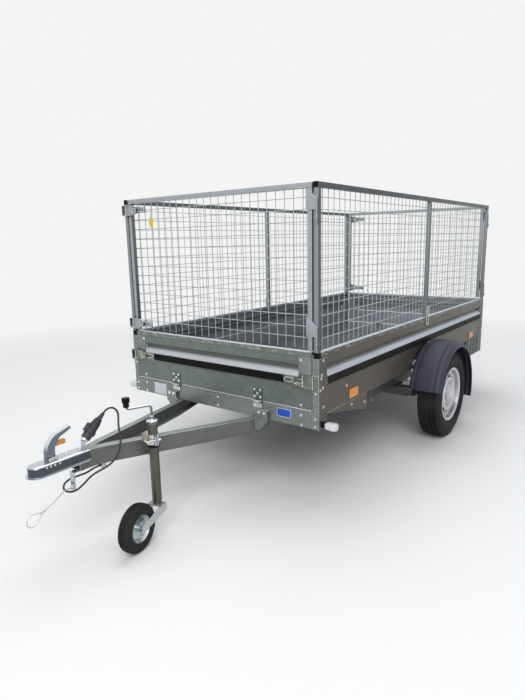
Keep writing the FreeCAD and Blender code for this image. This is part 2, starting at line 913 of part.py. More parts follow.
def beam_bracket():
    """Folded plate in front of the sill that wraps the outside of the left beam."""
    near = beam_sill_half - bracket_front * beam_slope + seat_gap
    far = near + bracket_width
    low = front_sill_bottom - bracket_drop
    high = front_sill_bottom + bracket_rise
    front = front_y - bracket_front
    edge = near + bracket_plate * beam_slope
    corners = (
        (edge, low), (near + bracket_width / 3, low), (far, front_sill_bottom - 4), (far, high),
        (edge, high))
    face = prism([vec(x, front, z) for x, z in corners], vec(0, bracket_plate, 0))
    shelf = block((near, far), (front, front_y - seat_gap), (high - bracket_plate, high))
    run = bracket_front + bracket_reach
    web = block((0, bracket_plate), (0, run), (low, front_sill_bottom - seat_gap))
    web = web.rotated(ORIGIN, Z_AXIS, -beam_angle).translated(vec(near, front, 0))
    return fuse([face, shelf, web])


def beam_brackets():
    """Brackets of both beams."""
    bracket = beam_bracket()
    return group([bracket, mirrored(bracket)])


def coupling_head():
    """Pressed coupling: domed nose over the ball socket and a channel over the beams."""
    top = coupling_top
    bottom = coupling_bottom
    side = coupling_side
    nose_centre = nose_centre_y
    rear = nose_y + beam_bend - 20
    skin = coupling_wall
    body = block((-side, side), (nose_centre, rear), (bottom, top))
    nose = rod(side, vec(0, nose_centre, bottom), vec(0, nose_centre, top))
    shell = fuse([body, nose])
    rims = [edge for edge in shell.Edges if edge.BoundBox.ZMin > top - 0.01 and edge.BoundBox.YMin < rear - 1]
    shell = shell.makeFillet(12.0, rims)
    reach = side + coupling_flange
    flange = fuse([
        block((-reach, reach), (nose_centre, rear - 14), (bottom, bottom + skin)),
        rod(reach, vec(0, nose_centre, bottom), vec(0, nose_centre, bottom + skin)),
    ])
    shell = shell.fuse(flange)
    inner = side - skin
    channel_start = nose_centre + ball_radius + 12
    channel = block((-inner, inner), (channel_start, rear + 1), (bottom - 1, top - skin))
    socket = Part.makeSphere(socket_radius, vec(0, nose_centre, ball_z))
    mouth = rod(socket_radius, vec(0, nose_centre, bottom - 1), vec(0, nose_centre, ball_z))
    return shell.cut(channel).cut(fuse([socket, mouth])).removeSplitter()


def lever_face(front, back, x):
    """Side of the lever between its front and back curves, in the plane x."""
    base = nose_y + lever_setback
    top = coupling_top + seat_gap

    def at(point):
        return vec(x, base + point[0], top + point[1])

    edges = [
        Part.Arc(at(front[0]), at(front[1]), at(front[2])).toShape(),
        Part.LineSegment(at(front[2]), at(front[3])).toShape(),
        Part.LineSegment(at(front[3]), at(back[0])).toShape(),
        Part.LineSegment(at(back[0]), at(back[1])).toShape(),
        Part.Arc(at(back[1]), at(back[2]), at(back[3])).toShape(),
        Part.LineSegment(at(back[3]), at(front[0])).toShape(),
    ]
    return Part.Face(Part.Wire(edges))


def coupling_lever():
    """Curved channel lever, open behind, on its pin and shoe."""
    half_width = lever_width / 2
    skin = lever_skin
    # along, height above the coupling
    front = [(0, 0), (-2, 52), (45, 104), (108, 122)]
    back = [(110, 110), (62, 90), (32, 46), (36, 0)]
    solid = lever_face(front, back, -half_width).extrude(vec(lever_width, 0, 0))
    inner_front = [(skin, -1), (skin - 1.2, 51), (45 + skin * 0.7, 104 - skin), (108 - skin, 122 - skin * 1.4)]
    inner_back = [(112, 100), (70, 80), (44, 40), (48, -1)]
    hollow = lever_face(inner_front, inner_back, skin - half_width).extrude(vec(lever_width - 2 * skin, 0, 0))
    base = nose_y + lever_setback
    top = coupling_top + seat_gap
    shoe = block((-half_width, half_width), (base, base + 36), (top, top + skin))
    pin = rod(lever_pin, vec(-half_width - 5, base + 18, top + 14), vec(half_width + 5, base + 18, top + 14))
    return fuse([solid.cut(hollow), shoe, pin])


def beam_point(along, out):
    """Point beside the slanting part of the left beam, from its front bend."""
    angle = math.radians(beam_angle)
    x = beam_nose_half + along * math.sin(angle) + out * math.cos(angle)
    y = nose_y + beam_bend + along * math.cos(angle) - out * math.sin(angle)
    return x, y


def on_beam(shape):
    """Shape drawn with x out of the beam and y along it, set beside the jockey's place."""
    x, y = beam_point(jockey_along, 0)
    return shape.rotated(ORIGIN, Z_AXIS, -beam_angle).translated(vec(x, y, 0))


def jockey_axis(z):
    """Point on the jockey's upright axis."""
    x, y = beam_point(jockey_along, jockey_standoff)
    return vec(x, y, z)


def jockey_clamp():
    """Clamp that holds the jockey's tube against the beam."""
    z = (clamp_middle - clamp_height / 2, clamp_middle + clamp_height / 2)
    bore = jockey_tube_radius + seat_gap
    centre = vec(jockey_standoff, 0, 0)
    ring = rod(bore + 5, centre + Z_AXIS * z[0], centre + Z_AXIS * z[1])
    arm = block((seat_gap, jockey_standoff), (-20, 20), z)
    foot = block((seat_gap, 6), (-36, 36), (z[0], z[1] - 6))
    lug = block((jockey_standoff, jockey_standoff + bore + 20), (-8, 8), z)
    bolt_x = jockey_standoff + bore + 12
    reach = -clamp_handle_reach
    span = clamp_handle_half
    bolt = rod(clamp_bolt, vec(bolt_x, reach, clamp_middle), vec(bolt_x, 22, clamp_middle))
    handle = rod(clamp_bolt, vec(bolt_x - span, reach, clamp_middle), vec(bolt_x + span, reach, clamp_middle))
    body = fuse([ring, arm, foot, lug, bolt, handle])
    hole = rod(bore, centre + Z_AXIS * (z[0] - 1), centre + Z_AXIS * (z[1] + 1))
    slit = block((jockey_standoff, jockey_standoff + bore + 21), (-2, 2), (z[0] - 1, z[1] + 1))
    return on_beam(body.cut(hole).cut(slit))


def jockey_outer_tube():
    """Fixed outer tube with its top collar."""
    low = jockey_axis(jockey_tube_bottom)
    high = jockey_axis(jockey_tube_top)
    outer = rod(jockey_tube_radius, low, high)
    collar = rod(jockey_tube_radius + 4, high, high + Z_AXIS * 16)
    stem = rod(11, high + Z_AXIS * 16, high + Z_AXIS * 34)
    bore = rod(jockey_tube_radius - jockey_tube_wall, low - Z_AXIS, high - Z_AXIS * 4)
    return fuse([outer, collar, stem]).cut(bore)


def jockey_crank():
    """Crank arm and knob on top of the outer tube."""
    base = jockey_axis(jockey_tube_top + 34 + seat_gap)
    top = base + Z_AXIS * crank_rise
    heading = vec(-0.35, -0.937, 0)
    end = top + heading * crank_reach + Z_AXIS * 6
    grip_low = end + Z_AXIS * 4
    return fuse([
        rod(7, base, base + Z_AXIS * 12),
        rod(crank_radius, base, top),
        Part.makeSphere(crank_radius, top),
        rod(crank_radius, top, end),
        Part.makeSphere(crank_radius, end),
        rod(crank_radius, end, grip_low + Z_AXIS * 10),
        rod(knob_radius - 4, grip_low + Z_AXIS * 6, grip_low + Z_AXIS * 26),
        rod(knob_radius, grip_low + Z_AXIS * 26, grip_low + Z_AXIS * 50),
    ])


def jockey_leg():
    """Inner tube that slides out of the outer tube."""
    radius = jockey_tube_radius - jockey_tube_wall - seat_gap
    low = jockey_axis(jockey_tube_bottom - 14)
    high = jockey_axis(jockey_leg_top)
    leg = rod(radius, low, high)
    return leg.cut(rod(radius - 3, low - Z_AXIS, high + Z_AXIS))


def at_jockey_wheel(shape):
    """Shape drawn with its axis along x through the origin, set at the jockey's wheel."""
    foot = jockey_axis(jockey_wheel_radius)
    turn = math.radians(jockey_turn)
    travel = vec(math.sin(turn), -math.cos(turn), 0) * jockey_trail
    return shape.rotated(ORIGIN, Z_AXIS, jockey_turn).translated(foot + travel)


def jockey_fork():
    """Fork head under the leg and two arms that reach forward to the wheel's axle."""
    inner = jockey_wheel_width / 2 + jockey_arm_gap
    outer = inner + jockey_arm
    head_z = jockey_tube_bottom - 14 - seat_gap - jockey_wheel_radius
    pieces = []
    # along, height above the wheel's axle
    outline = (
        (-16, -14), (16, -14), (jockey_trail + 18, head_z - 34), (jockey_trail + 18, head_z),
        (jockey_trail - 35, head_z), (-12, 16))
    for side in (-1, 1):
        x = side * inner if side > 0 else -outer
        points = [vec(x, y, z) for y, z in outline]
        pieces.append(prism(points, vec(jockey_arm, 0, 0)))
    head_y = (jockey_trail - jockey_head_lead, jockey_trail + 18)
    pieces.append(block((-outer, outer), head_y, (head_z - jockey_arm, head_z)))
    pieces.append(rod(jockey_axle, vec(-outer - 8, 0, 0), vec(outer + 8, 0, 0)))
    return at_jockey_wheel(fuse(pieces))


def ring_solid(profile):
    """Ring turned about the x axis from a closed run of (x, radius) points."""
    points = [vec(x, 0, radius) for x, radius in profile]
    return face_of(points).revolve(ORIGIN, X_AXIS, 360)


def jockey_rim():
    """Jockey wheel's pressed rim and bush."""
    half_width = jockey_wheel_width / 2
    bore = jockey_axle + 0.4
    bush = jockey_bush
    rim = jockey_rim_radius
    profile = (
        (-half_width, bore), (half_width, bore), (half_width, bush), (6, bush), (6, rim - 14),
        (half_width - 4, rim), (half_width - 8, rim), (2, rim - 6), (-2, rim - 6),
        (-half_width + 8, rim), (-half_width + 4, rim), (-6, rim - 14), (-6, bush), (-half_width, bush),
    )
    return at_jockey_wheel(ring_solid(profile))


def jockey_tyre():
    """Solid rubber tyre of the jockey wheel."""
    half_width = jockey_wheel_width / 2
    radius = jockey_wheel_radius
    seat = jockey_rim_radius + seat_gap
    profile = (
        (-half_width + 6, seat), (half_width - 6, seat), (half_width, seat + 10), (half_width, radius - 14),
        (half_width - 9, radius - 2), (8, radius), (-8, radius), (-half_width + 9, radius - 2),
        (-half_width, radius - 14), (-half_width, seat + 10),
    )
    return at_jockey_wheel(ring_solid(profile))


# Axle and wheels

def axle_tube():
    """Axle tube under the beams with its two mounting plates."""
    top = beam_top - beam_height - seat_gap
    y = (axle_y - axle_lead - axle_tube_size / 2, axle_y - axle_lead + axle_tube_size / 2)
    reach = half - axle_end_inset
    tube_top = top - axle_mount
    tube = block((-reach, reach), y, (tube_top - axle_tube_size, tube_top))
    bore_y = (y[0] + axle_wall, y[1] - axle_wall)
    bore_z = (tube_top - axle_tube_size + axle_wall, tube_top - axle_wall)
    hollow = block((-reach - 1, reach + 1), bore_y, bore_z)
    pieces = [tube.cut(hollow)]
    for side in (-1, 1):
        x = sorted((side * (beam_rear_half - beam_flange - 6), side * (beam_rear_half + 8)))
        pieces.append(block(x, (y[0] - axle_plate_reach, y[1] + axle_plate_reach), (tube_top, top)))
    return fuse(pieces)


def axle_middle():
    """Height of the middle of the axle tube."""
    return beam_top - beam_height - seat_gap - axle_mount - axle_tube_size / 2


def swing_arm():
    """Left trailing arm with its stub axle."""
    tube_y = axle_y - axle_lead
    tube_z = axle_middle()
    x = (half - axle_end_inset + seat_gap, half - arm_inset)
    start = vec(x[0], tube_y, tube_z)
    end = vec(x[0], axle_y, wheel_z)
    width = X_AXIS * (x[1] - x[0])
    reach = end - start
    across = reach.cross(X_AXIS).normalize()
    root = across * arm_root_radius
    tip = across * arm_tip_radius
    bar = prism([start + root, end + tip, end - tip, start - root], width)
    return fuse([
        bar,
        rod(arm_root_radius, start, start + width),
        rod(arm_tip_radius, end, end + width),
        rod(stub_radius, end, vec(wheel_centre + 8, axle_y, wheel_z)),
    ])


def swing_arms():
    """Both trailing arms."""
    arm = swing_arm()
    return group([arm, mirrored(arm)])


def at_left_wheel(shape):
    """Shape turned about the x axis, set at the left wheel's centre."""
    return shape.translated(vec(wheel_centre, axle_y, wheel_z))


def hub():
    """Left wheel hub: barrel on the stub axle, flange and grease cap."""
    face = bolt_face
    inner = half - arm_inset + 6 - wheel_centre
    bore = stub_radius + pin_clearance
    profile = (
        (inner, bore), (inner, hub_radius), (face - 9, hub_radius), (face - 9, hub_flange_radius),
        (face, hub_flange_radius), (face, 28), (face + 22, 26), (face + 26, 20), (face + 26, 0),
        (12, 0), (12, bore),
    )
    return ring_solid(profile)


def rim():
    """Pressed steel wheel: barrel, dished disc and bolt face."""
    edge = rim_width / 2
    seat = rim_radius - rim_seat_drop
    well = rim_radius - rim_well_drop
    barrel = [
        (-edge, rim_radius), (-edge + 5, rim_radius), (-edge + 7, seat), (-edge + 26, seat),
        (-edge + 36, well), (edge - 46, well), (edge - 34, seat), (edge - 7, seat),
        (edge - 5, rim_radius), (edge, rim_radius),
    ]
    solid = ring_solid(sheet_outline(barrel[::-1], rim_wall))
    face = bolt_face + seat_gap
    disc = [(face, 30), (face, 66), (face + 20, 88), (face + 20, 102), (face - 8, 124), (face - 12, well - 1)]
    plate = ring_solid(sheet_outline(disc, -rim_wall))
    solid = fuse([solid, plate])
    for index in range(vent_count):
        hole = rod(vent_radius, vec(-10, 0, vent_circle), vec(60, 0, vent_circle))
        solid = solid.cut(hole.rotated(ORIGIN, X_AXIS, 360 * (index + 0.5) / vent_count))
    return solid


def tyre():
    """Hollow road tyre with three grooves round its tread."""
    side = tyre_width / 2
    bead = rim_radius - rim_seat_drop + seat_gap
    crown = tyre_radius
    outer = [
        (-57.5, bead), (-57.5, rim_radius), (-66, rim_radius + 14), (-side, (bead + crown) / 2),
        (-side + 4, crown - 34), (-tread_half, crown - 5),
    ]
    middle = []
    for centre in (-tread_groove_pitch, 0, tread_groove_pitch):
        middle += [(centre - 4, crown - 1), (centre - 3, crown - tread_groove)]
        middle += [(centre + 3, crown - tread_groove), (centre + 4, crown - 1)]
    outer = outer + middle + [(-x, r) for x, r in outer[::-1]]
    inner = [
        (46, bead), (48, rim_radius + 10), (side - tyre_wall, (bead + crown) / 2),
        (side - tyre_wall - 3, crown - 36), (tread_half - 10, crown - tyre_wall - 9),
    ]
    inner = inner + [(-x, r) for x, r in inner[::-1]]
    return ring_solid(outer + inner)


def guard_centre():
    """Centre of the mudguard's arc."""
    return vec(0, axle_y + guard_centre_y, guard_centre_z)


def mudguard():
    """Left mudguard: a formed strip turned about the wheel."""
    inner = half + guard_gap
    outer = inner + guard_width
    radius = guard_radius
    run = [
        (inner, radius - 34), (inner, radius - 8), (inner + 24, radius - 7), (inner + 30, radius),
        (outer - 46, radius), (outer - 40, radius - 7), (outer - 18, radius - 11),
        (outer - 4, radius - 24), (outer - 4, radius - 38), (outer, radius - 40),
    ]
    centre = guard_centre()
    points = [centre + vec(x, 0, r) for x, r in sheet_outline(run, -guard_wall)]
    section = face_of(points).rotated(centre, X_AXIS, -guard_rear_angle)
    return section.revolve(centre, X_AXIS, guard_front_angle + guard_rear_angle)


def guard_bracket(angle):
    """Channel between the side panel and the inner wall of the left mudguard."""
    centre = guard_centre()
    wall = guard_bracket_wall
    reach = guard_bracket_reach
    x = (half + seat_gap, half + guard_gap - seat_gap)
    top = guard_radius - guard_bracket_drop
    bottom = top - guard_bracket_height
    channel = block(x, (-reach, reach), (bottom, top))
    channel = channel.cut(block((x[0] + wall, x[1] - wall), (-reach - 1, reach + 1), (bottom - 1, top - wall)))
    return channel.translated(vec(0, centre.y, centre.z)).rotated(centre, X_AXIS, angle)


def mudguard_brackets():
    """Two brackets a side."""
    left = [guard_bracket(45), guard_bracket(-45)]
    return group(left + [mirrored(piece) for piece in left])


# Lamps and reflectors

def marker_arm():
    """Rubber arm under the left front corner."""
    y = (front_y + 22, front_y + 52)
    z = (front_sill_bottom + 12, front_sill_bottom + 34)
    return block((half + seat_gap + sheet + seat_gap, half + marker_arm_reach), y, z)


def marker_lamp():
    """White front marker lamp at the end of the left arm."""
    start = half + marker_arm_reach + seat_gap
    x = (start, start + marker_lamp_width)
    y = (front_y + 20, front_y + 20 + marker_lamp_depth)
    middle = front_sill_bottom + 23
    lamp = block(x, y, (middle - marker_lamp_height / 2, middle + marker_lamp_height / 2))
    return lamp.makeFillet(5.0, lamp.Edges)


def marker_arms():
    """Both rubber arms."""
    arm = marker_arm()
    return group([arm, mirrored(arm)])


def marker_lamps():
    """Both front marker lamps."""
    lamp = marker_lamp()
    return group([lamp, mirrored(lamp)])


def side_reflectors():
    """Two orange reflectors a side."""
    x = (half + seat_gap, half + seat_gap + reflector_depth)
    z = (reflector_middle - reflector_height / 2, reflector_middle + reflector_height / 2)
    pieces = []
    for y in (front_y + front_reflector_setback, rear_y - rear_reflector_inset - reflector_length):
        body = block(x, (y, y + reflector_length), z)
        front_edges = [edge for edge in body.Edges if edge.BoundBox.XMin > x[0] + 1]
        pieces.append(body.makeFillet(0.3 * reflector_depth, front_edges))
    return group(pieces + [mirrored(piece) for piece in pieces])


def rear_lamps():
    """Rear lamp clusters on the rear sill."""
    outer = half - post_face - 8
    middle = rear_sill_bottom + rear_lamp_rise
    lamp = block(
        (outer - rear_lamp_width, outer), (rear_y + seat_gap, rear_y + lamp_depth),
        (middle - rear_lamp_height / 2, middle + rear_lamp_height / 2))
    rims = [edge for edge in lamp.Edges if edge.BoundBox.YMax > rear_y + lamp_depth - 1]
    lamp = lamp.makeFillet(0.2 * lamp_depth, rims)
    return group([lamp, mirrored(lamp)])


# Cords

def cord_tube(route, radius, label):
    """Round tube along straight runs joined by tangent arcs."""
    points = [vec(*point) for point in route]
    edges = []
    start = points[0]
    bends = []
    for before, corner, after in zip(points, points[1:], points[2:]):
        run_in = corner - before
        run_out = after - corner
        cosine = run_in.dot(run_out) / (run_in.Length * run_out.Length)
        turn = math.acos(max(-1.0, min(1.0, cosine)))
        back = 0.45 * min(run_in.Length, run_out.Length)
        bend = back / math.tan(turn / 2)
        bends.append(round(bend, 1))
        enter = corner - run_in * (back / run_in.Length)
        leave = corner + run_out * (back / run_out.Length)
        inward = ((enter + leave) * 0.5 - corner).normalize()
        middle = corner + inward * (bend / math.cos(turn / 2) - bend)
        edges.append(Part.LineSegment(start, enter).toShape())
        edges.append(Part.Arc(enter, middle, leave).toShape())
        start = leave
    edges.append(Part.LineSegment(start, points[-1]).toShape())
    path = Part.Wire(edges)
    ring = Part.Wire([Part.Circle(points[0], points[1] - points[0], radius).toShape()])
    tube = path.makePipeShell([ring], True, False)
    expected = math.pi * radius ** 2 * path.Length
    ratio = round(tube.Volume / expected, 4)
    print(label, "bend radii", bends, "length", round(path.Length), "volume ratio", ratio)
    return tube


def plug_axis(along):
    """Point on the parked plug's axis, from the holder upwards."""
    start = vec(0, plug_y, plug_z)
    lean = math.radians(plug_lean)
    return start + vec(0, math.sin(lean), math.cos(lean)) * along


def cable_plug():
    """Plug turned about its axis: rim, collar, tapering grip and boot, with the hinged flap of the collar."""
    body = plug_radius
    collar = plug_collar_radius
    # along, radius
    profile = (
        (0, 0), (0, body - 3), (3, body - 1), (24, body), (27, collar), (44, collar), (48, body),
        (68, body - 1), (plug_grip_end - 6, body - 7), (plug_grip_end, body - 8),
        (plug_grip_end, plug_boot_radius + 3.5), (plug_length, plug_boot_radius), (plug_length, 0),
    )
    turned = face_of([vec(radius, 0, along) for along, radius in profile]).revolve(ORIGIN, Z_AXIS, 360)
    flap = block((-12, 12), (-collar - 5, 0), (26, 62))
    hinge = rod(4, vec(-12, -collar - 3, 60), vec(12, -collar - 3, 60))
    plug = fuse([turned, flap, hinge])
    return plug.rotated(ORIGIN, X_AXIS, -plug_lean).translated(plug_axis(0))


def plug_holder():
    """Bracket on the coupling that the plug is parked in, and the lead's clip under the beams."""
    top = coupling_top + seat_gap
    low = plug_axis(-10)
    foot = block((-14, 14), (low.y - 22, low.y + 4), (top, top + 3))
    stem = block((-10, 10), (low.y - 8, low.y + 2), (top, low.z + 2))
    cup = rod(16, low, plug_axis(-seat_gap))
    under = nose_beam_bottom - seat_gap
    clip = block((-16, 16), (clip_y, clip_y + 24), (under - clip_drop, under))
    return group([fuse([foot, stem, cup]), clip])


def wire_anchor():
    """Bent tab under the drawbar that the safety wire hangs from."""
    top = nose_beam_bottom - seat_gap
    front = anchor_y - anchor_plate
    tab = block((-11, 19), (front, anchor_y), (anchor_z - 14, top))
    foot = block((-11, 19), (front, anchor_y + 26), (top - anchor_plate, top))
    return fuse([tab, foot])


def wire_ferrules():
    """Crimped sleeves: one on the anchor tab, one where the end loop closes."""
    first = vec(4, anchor_y - anchor_plate - seat_gap, anchor_z)
    second = vec(*wire_route[-1])
    heading = (second - vec(*wire_route[-2])).normalize()
    return group([
        rod(5.0, first, first - Y_AXIS * 12),
        rod(5.4, second - heading * 4, second + heading * 20),
    ])


# The plug's end, over and down outside the left beam, a loop under the coupling, back to the clip
cable_route = (
    (0.0, -1541.1, 593.9),
    (0.0, -1523.7, 608.7),
    (4.0, -1491.0, 610.0),
    (13.5, -1472.0, 584.5),
    (27.5, -1484.5, 549.0),
    (48.5, -1501.5, 525.0),
    (66.5, -1508.0, 492.5),
    (81.5, -1522.5, 459.5),
    (96.0, -1545.5, 432.0),
    (103.5, -1576.5, 410.5),
    (101.0, -1610.0, 394.0),
    (86.0, -1643.5, 382.0),
    (68.5, -1674.5, 365.5),
    (57.0, -1704.0, 337.0),
    (44.0, -1735.5, 314.5),
    (16.0, -1755.5, 308.5),
    (-19.0, -1755.5, 312.0),
    (-46.0, -1735.0, 320.5),
    (-53.5, -1701.5, 329.5),
    (-37.5, -1668.0, 335.5),
    (-12.0, -1640.5, 346.5),
    (0.0, -1612.0, 362.0),
    (0.0, -1580.1, 362.0),
)

# The anchor's sleeve, forward under the coupling's left edge to the loop's sleeve
wire_route = (
    (4.0, -1724.0, 314.0),
    (6.0, -1755.0, 320.0),
    (12.5, -1784.0, 312.0),
    (20.0, -1813.0, 300.0),
    (27.0, -1843.0, 291.0),
    (32.5, -1874.0, 283.0),
)

# Out of the loop's sleeve and back
loop_route = (
    (35.0, -1890.0, 281.5),
    (37.8, -1911.4, 287.0),
    (39.0, -1933.6, 290.0),
    (39.2, -1953.2, 278.0),
    (37.6, -1957.1, 255.4),
    (36.8, -1942.3, 237.8),
    (36.4, -1919.3, 238.0),
    (35.8, -1902.8, 256.8),
    (35.0, -1888.7, 276.7),
)


def cable_lead():
    """Lead from the plug down past the left beam and back up under the drawbar."""
    return cord_tube(cable_route, cable_radius, "cable_lead")


def safety_wire():
    """Steel safety wire from its anchor to its end loop."""
    return cord_tube(wire_route, wire_radius, "safety_wire")


def wire_loop():
    """End loop of the safety wire."""
    return cord_tube(loop_route, wire_radius, "wire_loop")


nodes = {
    "side_panel_left": side_panel,
    "side_panel_right": lambda: mirrored(side_panel()),
    "side_trim": side_trim,
    "floor_deck": floor_deck,
    "cross_members": cross_members,
    "corner_posts": corner_posts,
    "front_sill": front_sill,
    "rear_sill": rear_sill,
    "side_gussets": side_gussets,
    "front_lid": lid_panel,
    "front_lid_trim": lid_trim,
    "front_lid_fittings": lid_fittings,
    "rear_lid": lambda: swapped(lid_panel()),
    "rear_lid_trim": lambda: swapped(lid_trim()),
    "rear_lid_fittings": lambda: swapped(lid_fittings()),
    "side_mesh_left": side_mesh_left,
    "side_mesh_right": lambda: mirrored(side_mesh()),
    "side_wires_left": side_ladder,
    "side_wires_right": lambda: mirrored(side_ladder()),
    "front_gate": gate,
    "front_gate_wires": gate_ladder,
    "rear_gate": lambda: swapped(gate()),
    "rear_gate_wires": lambda: swapped(gate_ladder()),
    "mesh_caps": mesh_caps,
    "drawbar_left": drawbar_beam,
    "drawbar_right": lambda: mirrored(drawbar_beam()),
    "beam_brackets": beam_brackets,
    "coupling_head": coupling_head,
    "coupling_lever": coupling_lever,
    "plug_holder": plug_holder,
    "jockey_clamp": jockey_clamp,
    "jockey_outer_tube": jockey_outer_tube,
    "jockey_crank": jockey_crank,
    "jockey_leg": jockey_leg,
    "jockey_fork": jockey_fork,
    "jockey_rim": jockey_rim,
    "jockey_tyre": jockey_tyre,
    "axle_tube": axle_tube,
    "swing_arms": swing_arms,
    "hub_left": lambda: at_left_wheel(hub()),
    "hub_right": lambda: mirrored(at_left_wheel(hub())),
    "rim_left": lambda: at_left_wheel(rim()),
    "rim_right": lambda: mirrored(at_left_wheel(rim())),
    "tyre_left": lambda: at_left_wheel(tyre()),
    "tyre_right": lambda: mirrored(at_left_wheel(tyre())),
    "mudguard_left": mudguard,
    "mudguard_right": lambda: mirrored(mudguard()),
    "mudguard_brackets": mudguard_brackets,
    "marker_arms": marker_arms,
    "marker_lamps": marker_lamps,
    "side_reflectors": side_reflectors,
    "rear_lamps": rear_lamps,
    "cable_lead": cable_lead,
    "cable_plug": cable_plug,
    "safety_wire": safety_wire,
    "wire_loop": wire_loop,
    "wire_ferrules": wire_ferrules,
    "wire_anchor": wire_anchor,
}

os.makedirs("parts", exist_ok=True)
for name, make in nodes.items():
    shape = make()
    shape.exportStep(os.path.join("parts", name + ".step"))
    print(name, len(shape.Solids), round(shape.Volume / 1000), "cm3", shape.isValid())
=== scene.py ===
"""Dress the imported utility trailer: finishes, mesh, wheels, fittings, cords, light and camera.

Every object is in metres in the CAD frame: +Z up from the ground, +Y to the rear, +X to the left.
"""
import logging
import math
from collections.abc import Iterable, Sequence
from dataclasses import dataclass
from enum import Enum

import bmesh
import bpy
from mathutils import Matrix, Vector


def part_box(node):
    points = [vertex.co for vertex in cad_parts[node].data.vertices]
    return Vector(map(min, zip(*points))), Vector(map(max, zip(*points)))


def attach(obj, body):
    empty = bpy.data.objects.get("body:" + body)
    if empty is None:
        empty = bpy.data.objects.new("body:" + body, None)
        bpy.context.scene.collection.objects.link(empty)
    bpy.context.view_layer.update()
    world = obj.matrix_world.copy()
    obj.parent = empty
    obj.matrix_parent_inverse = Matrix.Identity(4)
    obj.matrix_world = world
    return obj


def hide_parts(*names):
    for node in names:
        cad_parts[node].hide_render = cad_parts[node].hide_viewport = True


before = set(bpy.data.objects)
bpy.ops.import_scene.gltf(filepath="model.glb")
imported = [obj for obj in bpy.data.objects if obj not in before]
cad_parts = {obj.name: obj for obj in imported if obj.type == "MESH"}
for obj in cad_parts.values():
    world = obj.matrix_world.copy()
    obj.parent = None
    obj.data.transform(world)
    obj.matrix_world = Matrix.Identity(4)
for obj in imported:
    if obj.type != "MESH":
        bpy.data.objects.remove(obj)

logging.basicConfig(level=logging.INFO, format="%(message)s")
LOG = logging.getLogger("trailer")
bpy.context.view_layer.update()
MM = 0.001
Colour = tuple[float, float, float]
Point = tuple[float, float, float]
Pair = tuple[float, float]
Mesh = bpy.types.Mesh
Socket = bpy.types.NodeSocket

# Places of the colour sockets in a mix node
MIX_A, MIX_B, MIX_RESULT = 6, 7, 2
# Distances in metres under which points are merged: in a copied CAD node, and in a turned surface
CAD_WELD, TURN_WELD = 0.00002, 0.000005
# Rounding of folded sheet: its width in millimetres and the facets across it
SOFT_EDGE, SOFT_STEPS = 1.0, 2
# Rounding of the square tubes in millimetres, and the shading angle of round wires in degrees
TUBE_EDGE, WIRE_SMOOTH = 2.4, 80.0


# Node tree helpers

class Nodes:
    """A node tree with short methods that add and link its nodes."""

    tree: bpy.types.NodeTree

    def add(self, kind: str, values: dict[object, object] | None = None,
            **settings: object) -> bpy.types.Node:
        """Add a node, set its properties, and link or set its inputs."""
        node = self.tree.nodes.new(kind)
        for key, value in settings.items():
            setattr(node, key, value)
        for key, value in (values or {}).items():
            self.link(value, node.inputs[key])
        return node

    def link(self, source: object, target: Socket) -> None:
        """Link a socket, or set a plain value on the target."""
        if isinstance(source, Socket):
            self.tree.links.new(source, target)
        elif isinstance(source, tuple) and target.type == "RGBA":
            target.default_value = (*source, 1.0)
        else:
            target.default_value = source

    def math(self, operation: str, *values: object) -> Socket:
        """Result of a math node."""
        return self.add("ShaderNodeMath", dict(enumerate(values)), operation=operation).outputs[0]

    def vector_math(self, operation: str, *values: object) -> Socket:
        """Vector that a vector math node gives."""
        return self.add("ShaderNodeVectorMath", dict(enumerate(values)), operation=operation).outputs[0]


